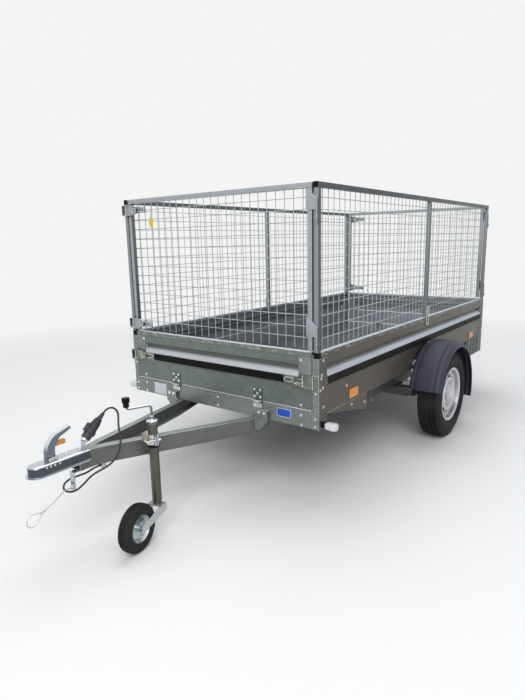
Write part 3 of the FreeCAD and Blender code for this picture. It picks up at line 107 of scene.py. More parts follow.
class Shader(Nodes):
    """One material's node tree, with short methods for the nodes that the finishes share."""

    def __init__(self, name: str, colour: Colour, roughness: float, metallic: float = 0.0) -> None:
        """Start a material around one Principled shader.

        Args:
            name: Name of the material.
            colour: Linear base colour.
            roughness: Roughness where no node drives it.
            metallic: Share of metal.
        """
        self.material = bpy.data.materials.new(name)
        self.material.use_nodes = True
        self.tree = self.material.node_tree
        self.bsdf = self.tree.nodes["Principled BSDF"]
        for label, value in (("Base Color", colour), ("Roughness", roughness), ("Metallic", metallic)):
            self.link(value, self.bsdf.inputs[label])
        self.coords = self.add("ShaderNodeTexCoord").outputs["Object"]

    def mapped(self, scale: Point) -> Socket:
        """Object coordinates, stretched."""
        return self.add("ShaderNodeMapping", {"Vector": self.coords, "Scale": scale}).outputs["Vector"]

    def noise(self, scale: float, detail: float = 3.0, at: Socket | None = None) -> Socket:
        """Noise factor."""
        return self.add("ShaderNodeTexNoise", {
            "Vector": at or self.coords, "Scale": scale, "Detail": detail}).outputs["Fac"]

    def cells(self, scale: float) -> Socket:
        """A grey value that differs from cell to cell."""
        node = self.add("ShaderNodeTexVoronoi", {"Vector": self.coords, "Scale": scale})
        return self.add("ShaderNodeSeparateColor", {"Color": node.outputs["Color"]}).outputs["Red"]

    def wave(self, scale: float, axis: str) -> Socket:
        """Parallel bands across one axis."""
        return self.add("ShaderNodeTexWave", {
            "Vector": self.coords, "Scale": scale}, bands_direction=axis).outputs["Fac"]

    def span(self, value: Socket, low: float, high: float) -> Socket:
        """Map a factor of 0 to 1 onto a range."""
        return self.add("ShaderNodeMapRange", {
            "Value": value, "To Min": low, "To Max": high}).outputs["Result"]

    def window(self, value: Socket, start: float, end: float) -> Socket:
        """A factor that rises from 0 to 1 as the value goes from start to end."""
        return self.add("ShaderNodeMapRange", {
            "Value": value, "From Min": start, "From Max": end}).outputs["Result"]

    def times(self, a: Socket, b: Socket | float) -> Socket:
        """Product of two factors."""
        return self.math("MULTIPLY", a, b)

    def plus(self, a: Socket, b: Socket | float) -> Socket:
        """Sum of two factors."""
        return self.math("ADD", a, b)

    def blend(self, factor: Socket, a: Socket | Colour, b: Socket | Colour) -> Socket:
        """Colour between a and b."""
        node = self.add("ShaderNodeMix", {"Factor": factor, MIX_A: a, MIX_B: b}, data_type="RGBA")
        return node.outputs[MIX_RESULT]

    def part(self, source: Socket, axis: str) -> Socket:
        """One component of a vector."""
        return self.add("ShaderNodeSeparateXYZ", {0: source}).outputs[axis]

    def facing(self, axis: str, start: float = 0.25, end: float = 0.6) -> Socket:
        """A factor that rises as the surface turns up, or to either side along X or Y."""
        value = self.part(self.add("ShaderNodeTexCoord").outputs["Normal"], axis)
        return self.window(value if axis == "Z" else self.math("ABSOLUTE", value), start, end)

    def inside(self, centre: Point) -> Socket:
        """A factor that is 1 on faces that look towards an upright line through a centre."""
        offset = self.vector_math("SUBTRACT", self.coords, centre)
        flat = self.vector_math("MULTIPLY", offset, (1.0, 1.0, 0.0))
        normal = self.add("ShaderNodeTexCoord").outputs["Normal"]
        dot = self.add("ShaderNodeVectorMath", {0: flat, 1: normal}, operation="DOT_PRODUCT")
        return self.window(dot.outputs["Value"], -0.1, -0.3)

    def level(self, start: float, end: float) -> Socket:
        """A factor that rises from 0 to 1 between two heights in metres."""
        return self.window(self.part(self.coords, "Z"), start, end)

    def colour(self, source: Socket) -> None:
        """Drive the base colour."""
        self.link(source, self.bsdf.inputs["Base Color"])

    def roughness(self, source: Socket) -> None:
        """Drive the roughness."""
        self.link(source, self.bsdf.inputs["Roughness"])

    def bump(self, height: Socket, distance: float, strength: float) -> None:
        """Drive the normal from a height, in metres of relief."""
        node = self.add("ShaderNodeBump", {"Distance": distance, "Strength": strength, "Height": height})
        self.link(node.outputs["Normal"], self.bsdf.inputs["Normal"])


class Geometry(Nodes):
    """A Geometry Nodes tree with named inputs, the last of them its material."""

    def __init__(self, name: str, inputs: dict[str, float], takes_mesh: bool = False) -> None:
        """Start a tree.

        Args:
            name: Name of the tree.
            inputs: Name and default of each input; a whole number makes it one that counts.
            takes_mesh: Whether the tree reads the object's own mesh.
        """
        self.tree = bpy.data.node_groups.new(name, "GeometryNodeTree")
        sockets = self.tree.interface
        if takes_mesh:
            sockets.new_socket("Geometry", in_out="INPUT", socket_type="NodeSocketGeometry")
        self.names: dict[str, str] = {}
        for label, default in inputs.items():
            kind = "NodeSocketInt" if isinstance(default, int) else "NodeSocketFloat"
            socket = sockets.new_socket(label, in_out="INPUT", socket_type=kind)
            socket.default_value = default
            self.names[label] = socket.identifier
        socket = sockets.new_socket("Material", in_out="INPUT", socket_type="NodeSocketMaterial")
        self.names["Material"] = socket.identifier
        sockets.new_socket("Geometry", in_out="OUTPUT", socket_type="NodeSocketGeometry")
        self.source = self.tree.nodes.new("NodeGroupInput")
        self.sink = self.tree.nodes.new("NodeGroupOutput")

    def value(self, label: str) -> Socket:
        """Output socket of a named input."""
        return self.source.outputs[label]

    def vector(self, x: object, y: object, z: object) -> Socket:
        """Vector from three values."""
        return self.add("ShaderNodeCombineXYZ", {0: x, 1: y, 2: z}).outputs[0]

    def join(self, *parts: Socket) -> Socket:
        """Several geometries as one."""
        node = self.tree.nodes.new("GeometryNodeJoinGeometry")
        for part in parts:
            self.tree.links.new(part, node.inputs[0])
        return node.outputs[0]

    def close(self, geometry: Socket) -> None:
        """Realize the result, give it its material and send it out."""
        real = self.add("GeometryNodeRealizeInstances", {0: geometry}).outputs[0]
        dressed = self.add("GeometryNodeSetMaterial", {"Geometry": real, "Material": self.value("Material")})
        self.tree.links.new(dressed.outputs[0], self.sink.inputs[0])

    def run(self, name: str, values: dict[str, object], mesh: Mesh | None = None) -> Mesh:
        """Evaluate the tree on a throwaway object.

        Args:
            name: Name of the resulting mesh.
            values: Value of each named input.
            mesh: Mesh that the tree reads, if it reads one.

        Returns:
            The result as a plain mesh.
        """
        source = bpy.data.objects.new(name + "_source", mesh or bpy.data.meshes.new(name + "_blank"))
        bpy.context.scene.collection.objects.link(source)
        modifier = source.modifiers.new("Nodes", "NODES")
        modifier.node_group = self.tree
        for label, value in values.items():
            modifier[self.names[label]] = value
        graph = bpy.context.evaluated_depsgraph_get()
        result = bpy.data.meshes.new_from_object(source.evaluated_get(graph), depsgraph=graph)
        result.name = name
        source.modifiers.remove(modifier)
        bpy.data.objects.remove(source)
        return result


# Finishes

@dataclass(frozen=True)
class Finish:
    """A surface finish: its colour, gloss and a slot name."""

    slot: str
    colour: Colour
    rough: float
    metal: float = 0.0

    def dress(self, shader: Shader) -> None:
        """Add the finish's own detail to the shader."""
        shader.roughness(shader.span(shader.noise(60), self.rough * 0.9, self.rough * 1.1))

    def make(self, name: str) -> bpy.types.Material:
        """Build the material."""
        shader = Shader(name, self.colour, self.rough, self.metal)
        self.dress(shader)
        return shader.material


@dataclass(frozen=True)
class Galvanised(Finish):
    """Hot-dip galvanised sheet with a fine spangle, dull streaks and soft stains."""

    spangle: float = 110.0
    stain: Colour = (0.10, 0.09, 0.07)
    stain_share: float = 0.35
    # Colour painted on upward faces and its share: painted light, and painted shade where it is darker than
    # the base
    painted_top: Colour = (0.52, 0.55, 0.58)
    painted_top_share: float = 0.85
    # Painted shade on faces that turn to either side along X
    side_shade: Colour | None = None
    # Painted light inside the box, painted shade in the recess above the shelf and at the crease below the
    # rim, with the heights of each, and the mottled rim band
    box_light_and_shade: bool = False
    inner_light: Colour = (0.24, 0.27, 0.30)
    middle: Point = (0.0, 0.535, 0.0)
    hollow_shade_foot: Pair = (0.701, 0.714)
    hollow_shade_top: Pair = (0.744, 0.741)
    rim_strip: Pair = (0.782, 0.788)
    fold_shade_foot: Pair = (0.7785, 0.7795)
    fold_shade_top: Pair = (0.7825, 0.7815)

    def dress(self, shader: Shader) -> None:
        """Add the spangle, painted light and shade on top faces, painted shade on the flanks, the streaks and
        the stains.
        """
        grain = shader.cells(self.spangle)
        cloud = shader.noise(2.6, 5.0)
        streak = shader.noise(9.0, 4.0, shader.mapped((1.0, 1.0, 6.0)))
        dirt = shader.times(shader.window(cloud, 0.48, 0.72), shader.window(streak, 0.35, 0.75))
        tone = shader.span(grain, 0.86, 1.12)
        base = self.colour
        # Painted shade on the flanks
        if self.side_shade:
            base = shader.blend(shader.facing("X", 0.55, 0.8), self.colour, self.side_shade)
        bright = shader.add(
            "ShaderNodeMix", {"Factor": 1.0, MIX_A: base, MIX_B: tone}, data_type="RGBA",
            blend_type="MULTIPLY")
        # Painted light on upward faces; where the top colour is darker than the base, painted shade
        upward = shader.times(shader.facing("Z"), self.painted_top_share)
        with_painted_top = shader.blend(upward, bright.outputs[MIX_RESULT], self.painted_top)
        if self.box_light_and_shade:
            with_painted_top = self.groove(shader, with_painted_top)
        shader.colour(shader.blend(shader.times(dirt, self.stain_share), with_painted_top, self.stain))
        gloss = shader.span(grain, self.rough - 0.08, self.rough + 0.06)
        shader.roughness(shader.plus(gloss, shader.times(dirt, 0.15)))
        shader.bump(shader.plus(shader.times(grain, 0.25), shader.noise(24.0, 4.0)), 0.0005, 0.35)

    def groove(self, shader: Shader, under: Socket) -> Socket:
        """Paint light on faces that look into the box, paint shade in the recess above the shelf and in a
        thin band at the crease below the rim, and mottle the rim band with spots of the top colour.

        Args:
            shader: The material being built.
            under: Colour below.

        Returns:
            The new colour.
        """
        # Painted light on faces that look into the box
        inner_lit = shader.blend(shader.inside(self.middle), under, self.inner_light)
        # Painted shade in the recess above the shelf
        hollow_shade = shader.times(shader.level(*self.hollow_shade_foot), shader.level(*self.hollow_shade_top))
        hollow_shade = shader.times(shader.times(hollow_shade, shader.facing("Z", 0.04, 0.2)), 0.8)
        spots = shader.window(shader.noise(34.0, 5.0, shader.mapped((1.0, 1.0, 2.0))), 0.5, 0.62)
        strip = shader.times(shader.times(shader.level(*self.rim_strip), spots), 0.3)
        # Painted shade in a thin band at the crease below the rim
        fold_shade = shader.times(shader.times(shader.level(*self.fold_shade_foot), shader.level(*self.fold_shade_top)), 0.5)
        shade_tone = tuple(0.3 * part for part in self.colour)
        shaded = shader.blend(fold_shade, shader.blend(hollow_shade, inner_lit, shade_tone), shade_tone)
        return shader.blend(strip, shaded, self.painted_top)


@dataclass(frozen=True)
class ZincPlate(Finish):
    """Bright zinc plating with a faint blue and yellow bloom and fine scratches."""

    cool: Colour = (0.55, 0.62, 0.78)
    warm: Colour = (0.72, 0.66, 0.48)
    bloom: float = 0.5
    # Painted light on upward faces: its colour, and the facing at which it begins
    painted_top: Colour = (0.66, 0.69, 0.73)
    painted_top_from: float = 0.3
    # Height below which the painted top colour is laid as well: a painted highlight on the lower lip
    highlight_hem: float = 0.0

    def dress(self, shader: Shader) -> None:
        """Add the bloom, painted light on upward faces, a painted highlight below the set height, and the
        scratches.
        """
        cloud = shader.noise(11.0, 3.0)
        tint = shader.blend(shader.window(cloud, 0.38, 0.62), self.cool, self.warm)
        share = shader.span(shader.noise(5.0), 0.0, self.bloom)
        tinted = shader.blend(share, self.colour, tint)
        # Painted light on upward faces
        pale = shader.blend(shader.facing("Z", self.painted_top_from, self.painted_top_from + 0.4), tinted, self.painted_top)
        # Painted highlight below the set height
        if self.highlight_hem:
            pale = shader.blend(shader.level(self.highlight_hem + 0.0005, self.highlight_hem - 0.0005), pale, self.painted_top)
        shader.colour(pale)
        scratch = shader.noise(180.0, 2.0, shader.mapped((1.0, 0.12, 1.0)))
        shader.roughness(shader.span(scratch, self.rough * 0.75, self.rough * 1.3))
        shader.bump(scratch, 0.0002, 0.3)


@dataclass(frozen=True)
class Moulded(Finish):
    """Moulded plastic with a fine grain and dust in its hollows."""

    grain: float = 900.0
    relief: float = 0.0002
    dust: float = 0.15
    dust_colour: Colour = (0.16, 0.15, 0.13)
    sheen: float = 0.5

    def dress(self, shader: Shader) -> None:
        """Add the grain and the dust."""
        shader.bsdf.inputs["Specular IOR Level"].default_value = self.sheen
        dust = shader.times(shader.window(shader.noise(7.0, 5.0), 0.45, 0.75), self.dust)
        shader.colour(shader.blend(dust, self.colour, self.dust_colour))
        gloss = shader.span(shader.noise(40.0), self.rough - 0.05, self.rough + 0.05)
        shader.roughness(shader.plus(gloss, dust))
        shader.bump(shader.noise(self.grain, 2.0), self.relief, 0.6)


@dataclass(frozen=True)
class FilmPly(Finish):
    """Film-faced plywood with a pressed wire-mesh pattern and scuffs."""

    pitch: float = 190.0
    scuffed: Colour = (0.20, 0.18, 0.16)

    def dress(self, shader: Shader) -> None:
        """Add the pressed pattern and the scuffs."""
        weave = shader.times(shader.wave(self.pitch, "X"), shader.wave(self.pitch, "Y"))
        scuff = shader.window(shader.noise(14.0, 6.0, shader.mapped((1.0, 0.3, 1.0))), 0.52, 0.78)
        shader.colour(shader.blend(shader.times(scuff, 0.4), self.colour, self.scuffed))
        gloss = shader.span(weave, self.rough - 0.1, self.rough)
        shader.roughness(shader.plus(gloss, shader.times(scuff, 0.2)))
        shader.bump(weave, 0.0006, 0.5)


@dataclass(frozen=True)
class Lens(Finish):
    """Moulded lens with fine prism ribs."""

    ribs: float = 60.0
    coat: float = 0.25
    rib_shade: float = 0.55

    def dress(self, shader: Shader) -> None:
        """Add the ribs, with painted shade in bands along them, and the clear coat."""
        ribs = shader.wave(self.ribs, "Z")
        cross = shader.wave(self.ribs, "Y")
        # Painted shade in bands along the ribs
        shade = tuple(self.rib_shade * part for part in self.colour)
        shader.colour(shader.blend(shader.times(ribs, 0.5), self.colour, shade))
        shader.bump(shader.plus(ribs, cross), 0.0006, 0.6)
        shader.bsdf.inputs["Coat Weight"].default_value = self.coat
        shader.bsdf.inputs["Coat Roughness"].default_value = 0.12


class Look(Enum):
    """The trailer's finishes."""

    SHEET_FRONT = Galvanised("galvanised", (0.165, 0.195, 0.175), 0.4, 0.6, stain_share=0.15,
                             painted_top=(0.57, 0.59, 0.63), painted_top_share=1.0, box_light_and_shade=True,
                             inner_light=(0.42, 0.46, 0.50))
    SHEET_SILL = Galvanised("galvanised", (0.22, 0.25, 0.24), 0.4, 0.6, stain_share=0.15,
                            side_shade=(0.072, 0.088, 0.080))
    # A darker, browner copy of the galvanised sheet for the side panels: painted shade on the trailer's sides
    SHEET_SIDE = Galvanised("galvanised", (0.100, 0.090, 0.074), 0.42, 0.55, stain_share=0.3,
                            painted_top=(0.50, 0.56, 0.63), painted_top_share=1.0, box_light_and_shade=True)
    SHEET_FRAME = Galvanised("galvanised", (0.225, 0.255, 0.245), 0.42, 0.55, stain_share=0.2,
                             side_shade=(0.098, 0.088, 0.078))
    BEAM = Galvanised("galvanised", (0.142, 0.145, 0.142), 0.42, 0.55, stain_share=0.2,
                      painted_top=(0.34, 0.37, 0.35))
    SHEET_DARK = Galvanised("galvanised", (0.10, 0.10, 0.095), 0.55, 0.4, stain_share=0.5)
    # A brighter copy of the galvanised finish for rounded folds and cut edges: a painted highlight
    EDGE = Galvanised("galvanised", (0.46, 0.49, 0.47), 0.3, 0.7, spangle=400.0, stain_share=0.1)
    TUBE = Galvanised("zinc_tube", (0.37, 0.40, 0.43), 0.36, 0.6, spangle=260.0, stain_share=0.1,
                      painted_top=(0.60, 0.64, 0.68), side_shade=(0.15, 0.15, 0.14))
    # A darker copy of the zinc tube for the side frames: painted shade on the side-facing tubes
    TUBE_SIDE = Galvanised("zinc_tube", (0.26, 0.285, 0.31), 0.45, 0.45, spangle=260.0, stain_share=0.1,
                           painted_top=(0.46, 0.50, 0.54), side_shade=(0.080, 0.092, 0.100))
    WIRE = Galvanised("zinc_wire", (0.42, 0.45, 0.45), 0.4, 0.5, spangle=400.0, stain_share=0.1)
    ZINC = ZincPlate("bright_zinc", (0.46, 0.48, 0.50), 0.26, 0.85)
    # The coupling's dark base is painted shade and dark reflection on its sides; its tops and lower lip take
    # the paler painted colour
    COUPLING = ZincPlate("bright_zinc", (0.065, 0.080, 0.090), 0.24, 0.85, cool=(0.06, 0.085, 0.12),
                         warm=(0.10, 0.10, 0.09), painted_top=(0.54, 0.58, 0.64), highlight_hem=0.4275)
    LEVER = ZincPlate("bright_zinc", (0.16, 0.18, 0.21), 0.24, 0.85, cool=(0.12, 0.15, 0.22),
                      warm=(0.20, 0.19, 0.16), painted_top=(0.74, 0.78, 0.80), painted_top_from=0.1)
    JOCKEY_TUBE = Galvanised("bright_zinc", (0.10, 0.098, 0.078), 0.34, 0.65, spangle=300.0, stain_share=0.3)
    BOLT = ZincPlate("bright_zinc", (0.58, 0.59, 0.56), 0.25, 0.85, bloom=0.7)
    # A darker copy of the bright zinc for the upper hinge leaves: painted shade
    HINGE = ZincPlate("bright_zinc", (0.10, 0.13, 0.11), 0.3, 0.8, cool=(0.12, 0.17, 0.16),
                      warm=(0.16, 0.17, 0.11), painted_top=(0.55, 0.58, 0.56))
    YELLOW_ZINC = ZincPlate("yellow_zinc", (0.20, 0.23, 0.20), 0.2, 0.95, cool=(0.10, 0.15, 0.13),
                            warm=(0.40, 0.41, 0.34), bloom=1.0, painted_top=(0.80, 0.81, 0.76))
    CLAMP_ZINC = ZincPlate("yellow_zinc", (0.46, 0.44, 0.36), 0.28, 0.85, bloom=0.8,
                           painted_top=(0.80, 0.78, 0.72))
    HUB_ZINC = ZincPlate("rim_zinc", (0.36, 0.46, 0.48), 0.26, 0.85, bloom=0.4)
    # The silver rim's top colour is darker than its base: painted shade on its upward faces
    SILVER = Galvanised("silver_rim", (0.60, 0.605, 0.625), 0.26, 0.7, spangle=900.0, stain_share=0.15,
                        painted_top=(0.36, 0.365, 0.38), painted_top_share=0.8)
    TRIM = Moulded("black_trim", (0.006, 0.006, 0.006), 0.5, dust=0.03, sheen=0.08)
    GUARD = Moulded("guard_plastic", (0.024, 0.026, 0.043), 0.46, grain=700.0, relief=0.0004, dust=0.15,
                    sheen=0.4)
    TYRE = Moulded("rubber_tyre", (0.011, 0.0105, 0.012), 0.7, grain=350.0, relief=0.0003, dust=0.14,
                   sheen=0.22)
    CABLE = Moulded("cable_black", (0.010, 0.010, 0.011), 0.45, grain=500.0, dust=0.1)
    PLUG = Moulded("cable_black", (0.022, 0.021, 0.028), 0.5, grain=600.0, dust=0.15)
    KNOB = Moulded("black_trim", (0.14, 0.085, 0.075), 0.5, grain=500.0, dust=0.4,
                   dust_colour=(0.20, 0.12, 0.10))
    STRAND = ZincPlate("wire_steel", (0.56, 0.56, 0.50), 0.35, 0.7, bloom=0.2)
    DECK = FilmPly("plywood", (0.080, 0.078, 0.090), 0.22)
    CLEAR = Lens("lens_white", (0.74, 0.75, 0.77), 0.3)
    ORANGE = Lens("lens_orange", (0.78, 0.26, 0.010), 0.35, ribs=26.0)
    RED = Lens("lens_red", (0.45, 0.015, 0.012), 0.3, ribs=26.0)
    LABEL_BLUE = Moulded("lens_white", (0.012, 0.085, 0.46), 0.4, grain=300.0, relief=0.0001, dust=0.1,
                         sheen=0.3)
    LABEL_WHITE = Moulded("lens_white", (0.60, 0.63, 0.67), 0.4, grain=300.0, relief=0.0001, dust=0.25)
    LABEL_YELLOW = Moulded("lens_orange", (0.74, 0.52, 0.03), 0.4, grain=300.0, relief=0.0001, dust=0.1,
                           sheen=0.3)

    @property
    def material(self) -> bpy.types.Material:
        """The material of this finish, built once."""
        name = "finish_" + self.name.lower()
        return bpy.data.materials.get(name) or self.value.make(name)


# The CAD nodes that stay, with the finish of each
NODE_LOOKS: dict[Look, tuple[str, ...]] = {
    Look.SHEET_FRONT: ("front_lid", "rear_lid"),
    Look.SHEET_SILL: ("front_sill", "rear_sill"),
    Look.SHEET_SIDE: ("side_panel_left", "side_panel_right", "side_gussets"),
    Look.SHEET_FRAME: ("corner_posts", "mudguard_brackets", "beam_brackets"),
    Look.BEAM: ("drawbar_left", "drawbar_right"),
    Look.SHEET_DARK: ("cross_members", "axle_tube", "swing_arms"),
    Look.TUBE: ("side_mesh_left", "side_mesh_right", "front_gate", "rear_gate"),
    Look.WIRE: ("side_wires_left", "side_wires_right", "front_gate_wires", "rear_gate_wires"),
    Look.ZINC: ("plug_holder", "jockey_fork", "jockey_crank", "wire_anchor"),
    Look.COUPLING: ("coupling_head",),
    Look.LEVER: ("coupling_lever",),
    Look.JOCKEY_TUBE: ("jockey_outer_tube", "jockey_leg"),
    Look.YELLOW_ZINC: ("front_lid_fittings", "rear_lid_fittings"),
    Look.CLAMP_ZINC: ("jockey_clamp",),
    Look.HUB_ZINC: ("jockey_rim", "hub_left", "hub_right"),
    Look.SILVER: ("rim_left", "rim_right"),
    Look.TRIM: ("side_trim", "front_lid_trim", "rear_lid_trim", "mesh_caps", "marker_arms"),
    Look.GUARD: ("mudguard_left", "mudguard_right"),
    Look.TYRE: ("tyre_left", "tyre_right", "jockey_tyre"),
    Look.PLUG: ("cable_plug",),
    Look.STRAND: ("wire_ferrules",),
    Look.DECK: ("floor_deck",),
    Look.CLEAR: ("marker_lamps",),
    Look.ORANGE: ("side_reflectors",),
    Look.RED: ("rear_lamps",),
}


# Cords

@dataclass
class Cord:
    """A cord on a smooth line through the route that its CAD tube follows."""

    name: str
    route: Sequence[Point]
    radius: float
    look: Look
    far_end: str
    stiffness: str
    length: float
    companions: tuple[str, ...] = ()
    sides: int = 10

    def build(self) -> bpy.types.Object:
        data = bpy.data.curves.new(self.name, "CURVE")
        data.dimensions = "3D"
        data.bevel_depth = self.radius
        data.bevel_resolution = self.sides // 4
        data.use_fill_caps = True
        spline = data.splines.new("NURBS")
        spline.points.add(len(self.route) - 1)
        for point, place in zip(spline.points, self.route):
            point.co = (place[0] * MM, place[1] * MM, place[2] * MM, 1.0)
        spline.order_u = 3
        spline.use_endpoint_u = True
        spline.resolution_u = 8
        data.materials.append(self.look.material)
        piece = bpy.data.objects.new(self.name + "_line", data)
        bpy.context.scene.collection.objects.link(piece)
        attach(piece, "chassis")
        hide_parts(self.name)
        return piece


CABLE = Cord(
    "cable_lead",
    (
        (0.0, -1580.1, 362.0), (0.0, -1612.0, 362.0), (-12.0, -1640.5, 346.5), (-37.5, -1668.0, 335.5),
        (-53.5, -1701.5, 329.5), (-46.0, -1735.0, 320.5), (-19.0, -1755.5, 312.0), (16.0, -1755.5, 308.5),
        (44.0, -1735.5, 314.5), (57.0, -1704.0, 337.0), (68.5, -1674.5, 365.5), (86.0, -1643.5, 382.0),
        (101.0, -1610.0, 394.0), (103.5, -1576.5, 410.5), (96.0, -1545.5, 432.0), (81.5, -1522.5, 459.5),
        (66.5, -1508.0, 492.5), (48.5, -1501.5, 525.0), (27.5, -1484.5, 549.0), (13.5, -1472.0, 584.5),
        (4.0, -1491.0, 610.0), (0.0, -1523.7, 608.7), (0.0, -1541.1, 593.9),
    ),
    0.0044, Look.CABLE, "plug", "medium", 0.787, ("cable_plug",))
WIRE = Cord(
    "safety_wire",
    (
        (4.0, -1724.0, 314.0), (6.0, -1755.0, 320.0), (12.5, -1784.0, 312.0), (20.0, -1813.0, 300.0),
        (27.0, -1843.0, 291.0), (32.5, -1874.0, 283.0),
    ),
    0.0022, Look.STRAND, "fitting", "stiff", 0.159, ("wire_ferrules",))
WIRE_LOOP = Cord(
    "wire_loop",
    (
        (35.0, -1890.0, 281.5), (37.8, -1911.4, 287.0), (39.0, -1933.6, 290.0), (39.2, -1953.2, 278.0),
        (37.6, -1957.1, 255.4), (36.8, -1942.3, 237.8), (36.4, -1919.3, 238.0), (35.8, -1902.8, 256.8),
        (35.0, -1888.7, 276.7),
    ),
    0.0022, Look.STRAND, "object", "stiff", 0.180)


# Shapes

def to_mesh(shape: bmesh.types.BMesh, name: str) -> Mesh:
    """Turn a worked shape into a mesh and free it."""
    mesh = bpy.data.meshes.new(name)
    shape.to_mesh(mesh)
    shape.free()
    return mesh


def joined(meshes: Iterable[Mesh], name: str) -> Mesh:
    """Join meshes into one."""
    shape = bmesh.new()
    for mesh in meshes:
        shape.from_mesh(mesh)
    return to_mesh(shape, name)


def show(name: str, mesh: Mesh, look: Look, body: str, stands_for: Sequence[str] = (),
         smooth: float = 35.0) -> bpy.types.Object:
    """Show a mesh as a piece of the trailer.

    Args:
        name: Name of the piece.
        mesh: Its mesh, already in place.
        look: Its finish.
        body: Body that carries it.
        stands_for: CAD nodes that it replaces.
        smooth: Edges flatter than this many degrees are shaded smooth.

    Returns:
        The new object.
    """
    mesh.materials.clear()
    mesh.materials.append(look.material)
    mesh.polygons.foreach_set("material_index", [0] * len(mesh.polygons))
    mesh.polygons.foreach_set("use_smooth", [True] * len(mesh.polygons))
    mesh.set_sharp_from_angle(angle=math.radians(smooth))
    piece = bpy.data.objects.new(name, mesh)
    bpy.context.scene.collection.objects.link(piece)
    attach(piece, body)
    if stands_for:
        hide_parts(*stands_for)
    LOG.info("%s: %d faces on %s", name, len(mesh.polygons), body)
    return piece


def softened(node: str, look: Look, body: str) -> bpy.types.Object:
    """A copy of a CAD node with its folds and cut edges rounded, and on galvanised sheet a painted highlight
    in a brighter finish on that rounding.

    Args:
        node: CAD node that the copy stands for.
        look: Finish of the copy.
        body: Body that carries it.

    Returns:
        The copy.
    """
    shape = bmesh.new()
    shape.from_mesh(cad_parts[node].data)
    bmesh.ops.remove_doubles(shape, verts=shape.verts, dist=CAD_WELD)
    bmesh.ops.dissolve_limit(
        shape, angle_limit=math.radians(0.5), verts=shape.verts, edges=shape.edges, delimit={"NORMAL"})
    piece = show(node + "_soft", to_mesh(shape, node + "_soft"), look, body, (node,))
    bevel = piece.modifiers.new("Rounding", "BEVEL")
    bevel.width = SOFT_EDGE * MM
    bevel.segments = SOFT_STEPS
    bevel.limit_method = "ANGLE"
    bevel.angle_limit = math.radians(40)
    bevel.use_clamp_overlap = True
    bevel.harden_normals = True
    # On galvanised sheet the rounding takes a brighter copy of the finish: a painted highlight along folds
    # and cut edges
    if isinstance(look.value, Galvanised):
        piece.data.materials.append(Look.EDGE.material)
        bevel.material = 1
    return piece


def band(shape: bmesh.types.BMesh, rings: Sequence[Sequence[bmesh.types.BMVert]]) -> None:
    """Lay faces between each closed ring of points and the next."""
    for ring, after in zip(rings, rings[1:]):
        for index in range(len(ring)):
            following = (index + 1) % len(ring)
            shape.faces.new((ring[index], ring[following], after[following], after[index]))


def skinned(rings: Iterable[Iterable[Point]], name: str) -> Mesh:
    """Skin over a row of closed rings of points in millimetres, with both ends closed."""
    shape = bmesh.new()
    made = [[shape.verts.new(tuple(part * MM for part in place)) for place in ring] for ring in rings]
    band(shape, made)
    shape.faces.new(made[0][::-1])
    shape.faces.new(made[-1])
    bmesh.ops.recalc_face_normals(shape, faces=shape.faces)
    return to_mesh(shape, name)


def turned(profile: Sequence[Pair], steps: int, name: str) -> Mesh:
    """Surface turned about the x axis.

    Args:
        profile: Closed run of (x, radius) in millimetres.
        steps: Facets round the axis.
        name: Name of the mesh.

    Returns:
        The surface with outward faces, around the origin.
    """
    shape = bmesh.new()
    rings = []
    for step in range(steps):
        angle = math.tau * step / steps
        rings.append([
            shape.verts.new((x * MM, -radius * MM * math.sin(angle), radius * MM * math.cos(angle)))
            for x, radius in profile])
    band(shape, rings + rings[:1])
    bmesh.ops.remove_doubles(shape, verts=shape.verts, dist=TURN_WELD)
    bmesh.ops.recalc_face_normals(shape, faces=shape.faces)
    return to_mesh(shape, name)


def rounded(points: Sequence[Pair], radius: float, steps: int = 3) -> list[Pair]:
    """A run of points with its inner corners rounded.

    Args:
        points: The run in millimetres.
        radius: Largest distance cut back from a corner.
        steps: Points along each rounding.

    Returns:
        The denser run.
    """
    result = [points[0]]
    for before, corner, after in zip(points, points[1:], points[2:]):
        into, out = Vector(corner) - Vector(before), Vector(after) - Vector(corner)
        back = min(radius, 0.45 * into.length, 0.45 * out.length)
        start = Vector(corner) - into.normalized() * back
        end = Vector(corner) + out.normalized() * back
        for step in range(steps + 1):
            share = step / steps
            point = start.lerp(Vector(corner), share).lerp(Vector(corner).lerp(end, share), share)
            result.append((point.x, point.y))
    result.append(points[-1])
    return result


def loop(corners: Sequence[Pair], radius: float) -> list[Pair]:
    """A closed outline with all its corners rounded."""
    (x0, z0), (x1, z1) = corners[-1], corners[0]
    middle = ((x0 + x1) / 2, (z0 + z1) / 2)
    return rounded([middle, *corners, middle], radius)[:-1]


def rectangle(x0: float, z0: float, x1: float, z1: float) -> list[Pair]:
    """The four corners between a low and a high one."""
    return [(x0, z0), (x1, z0), (x1, z1), (x0, z1)]


def round_edges(shape: bmesh.types.BMesh, edge: float) -> None:
    """Round every edge of a shape by a radius in millimetres."""
    bmesh.ops.bevel(
        shape, geom=list(shape.edges), offset=edge * MM, segments=2, affect="EDGES", profile=0.5,
        clamp_overlap=True)


def boxes(spans: Iterable[tuple[Point, Point]], name: str, edge: float) -> Mesh:
    """Boxes with rounded edges.

    Args:
        spans: Low and high corner of each box in millimetres.
        name: Name of the mesh.
        edge: Radius of the edges.

    Returns:
        All boxes as one mesh.
    """
    shape = bmesh.new()
    for low, high in spans:
        made = bmesh.ops.create_cube(shape, size=1.0)
        size = Vector(high) - Vector(low)
        centre = (Vector(high) + Vector(low)) / 2
        for vertex in made["verts"]:
            vertex.co = Vector(a * b for a, b in zip(vertex.co, size)) * MM + centre * MM
    round_edges(shape, edge)
    return to_mesh(shape, name)


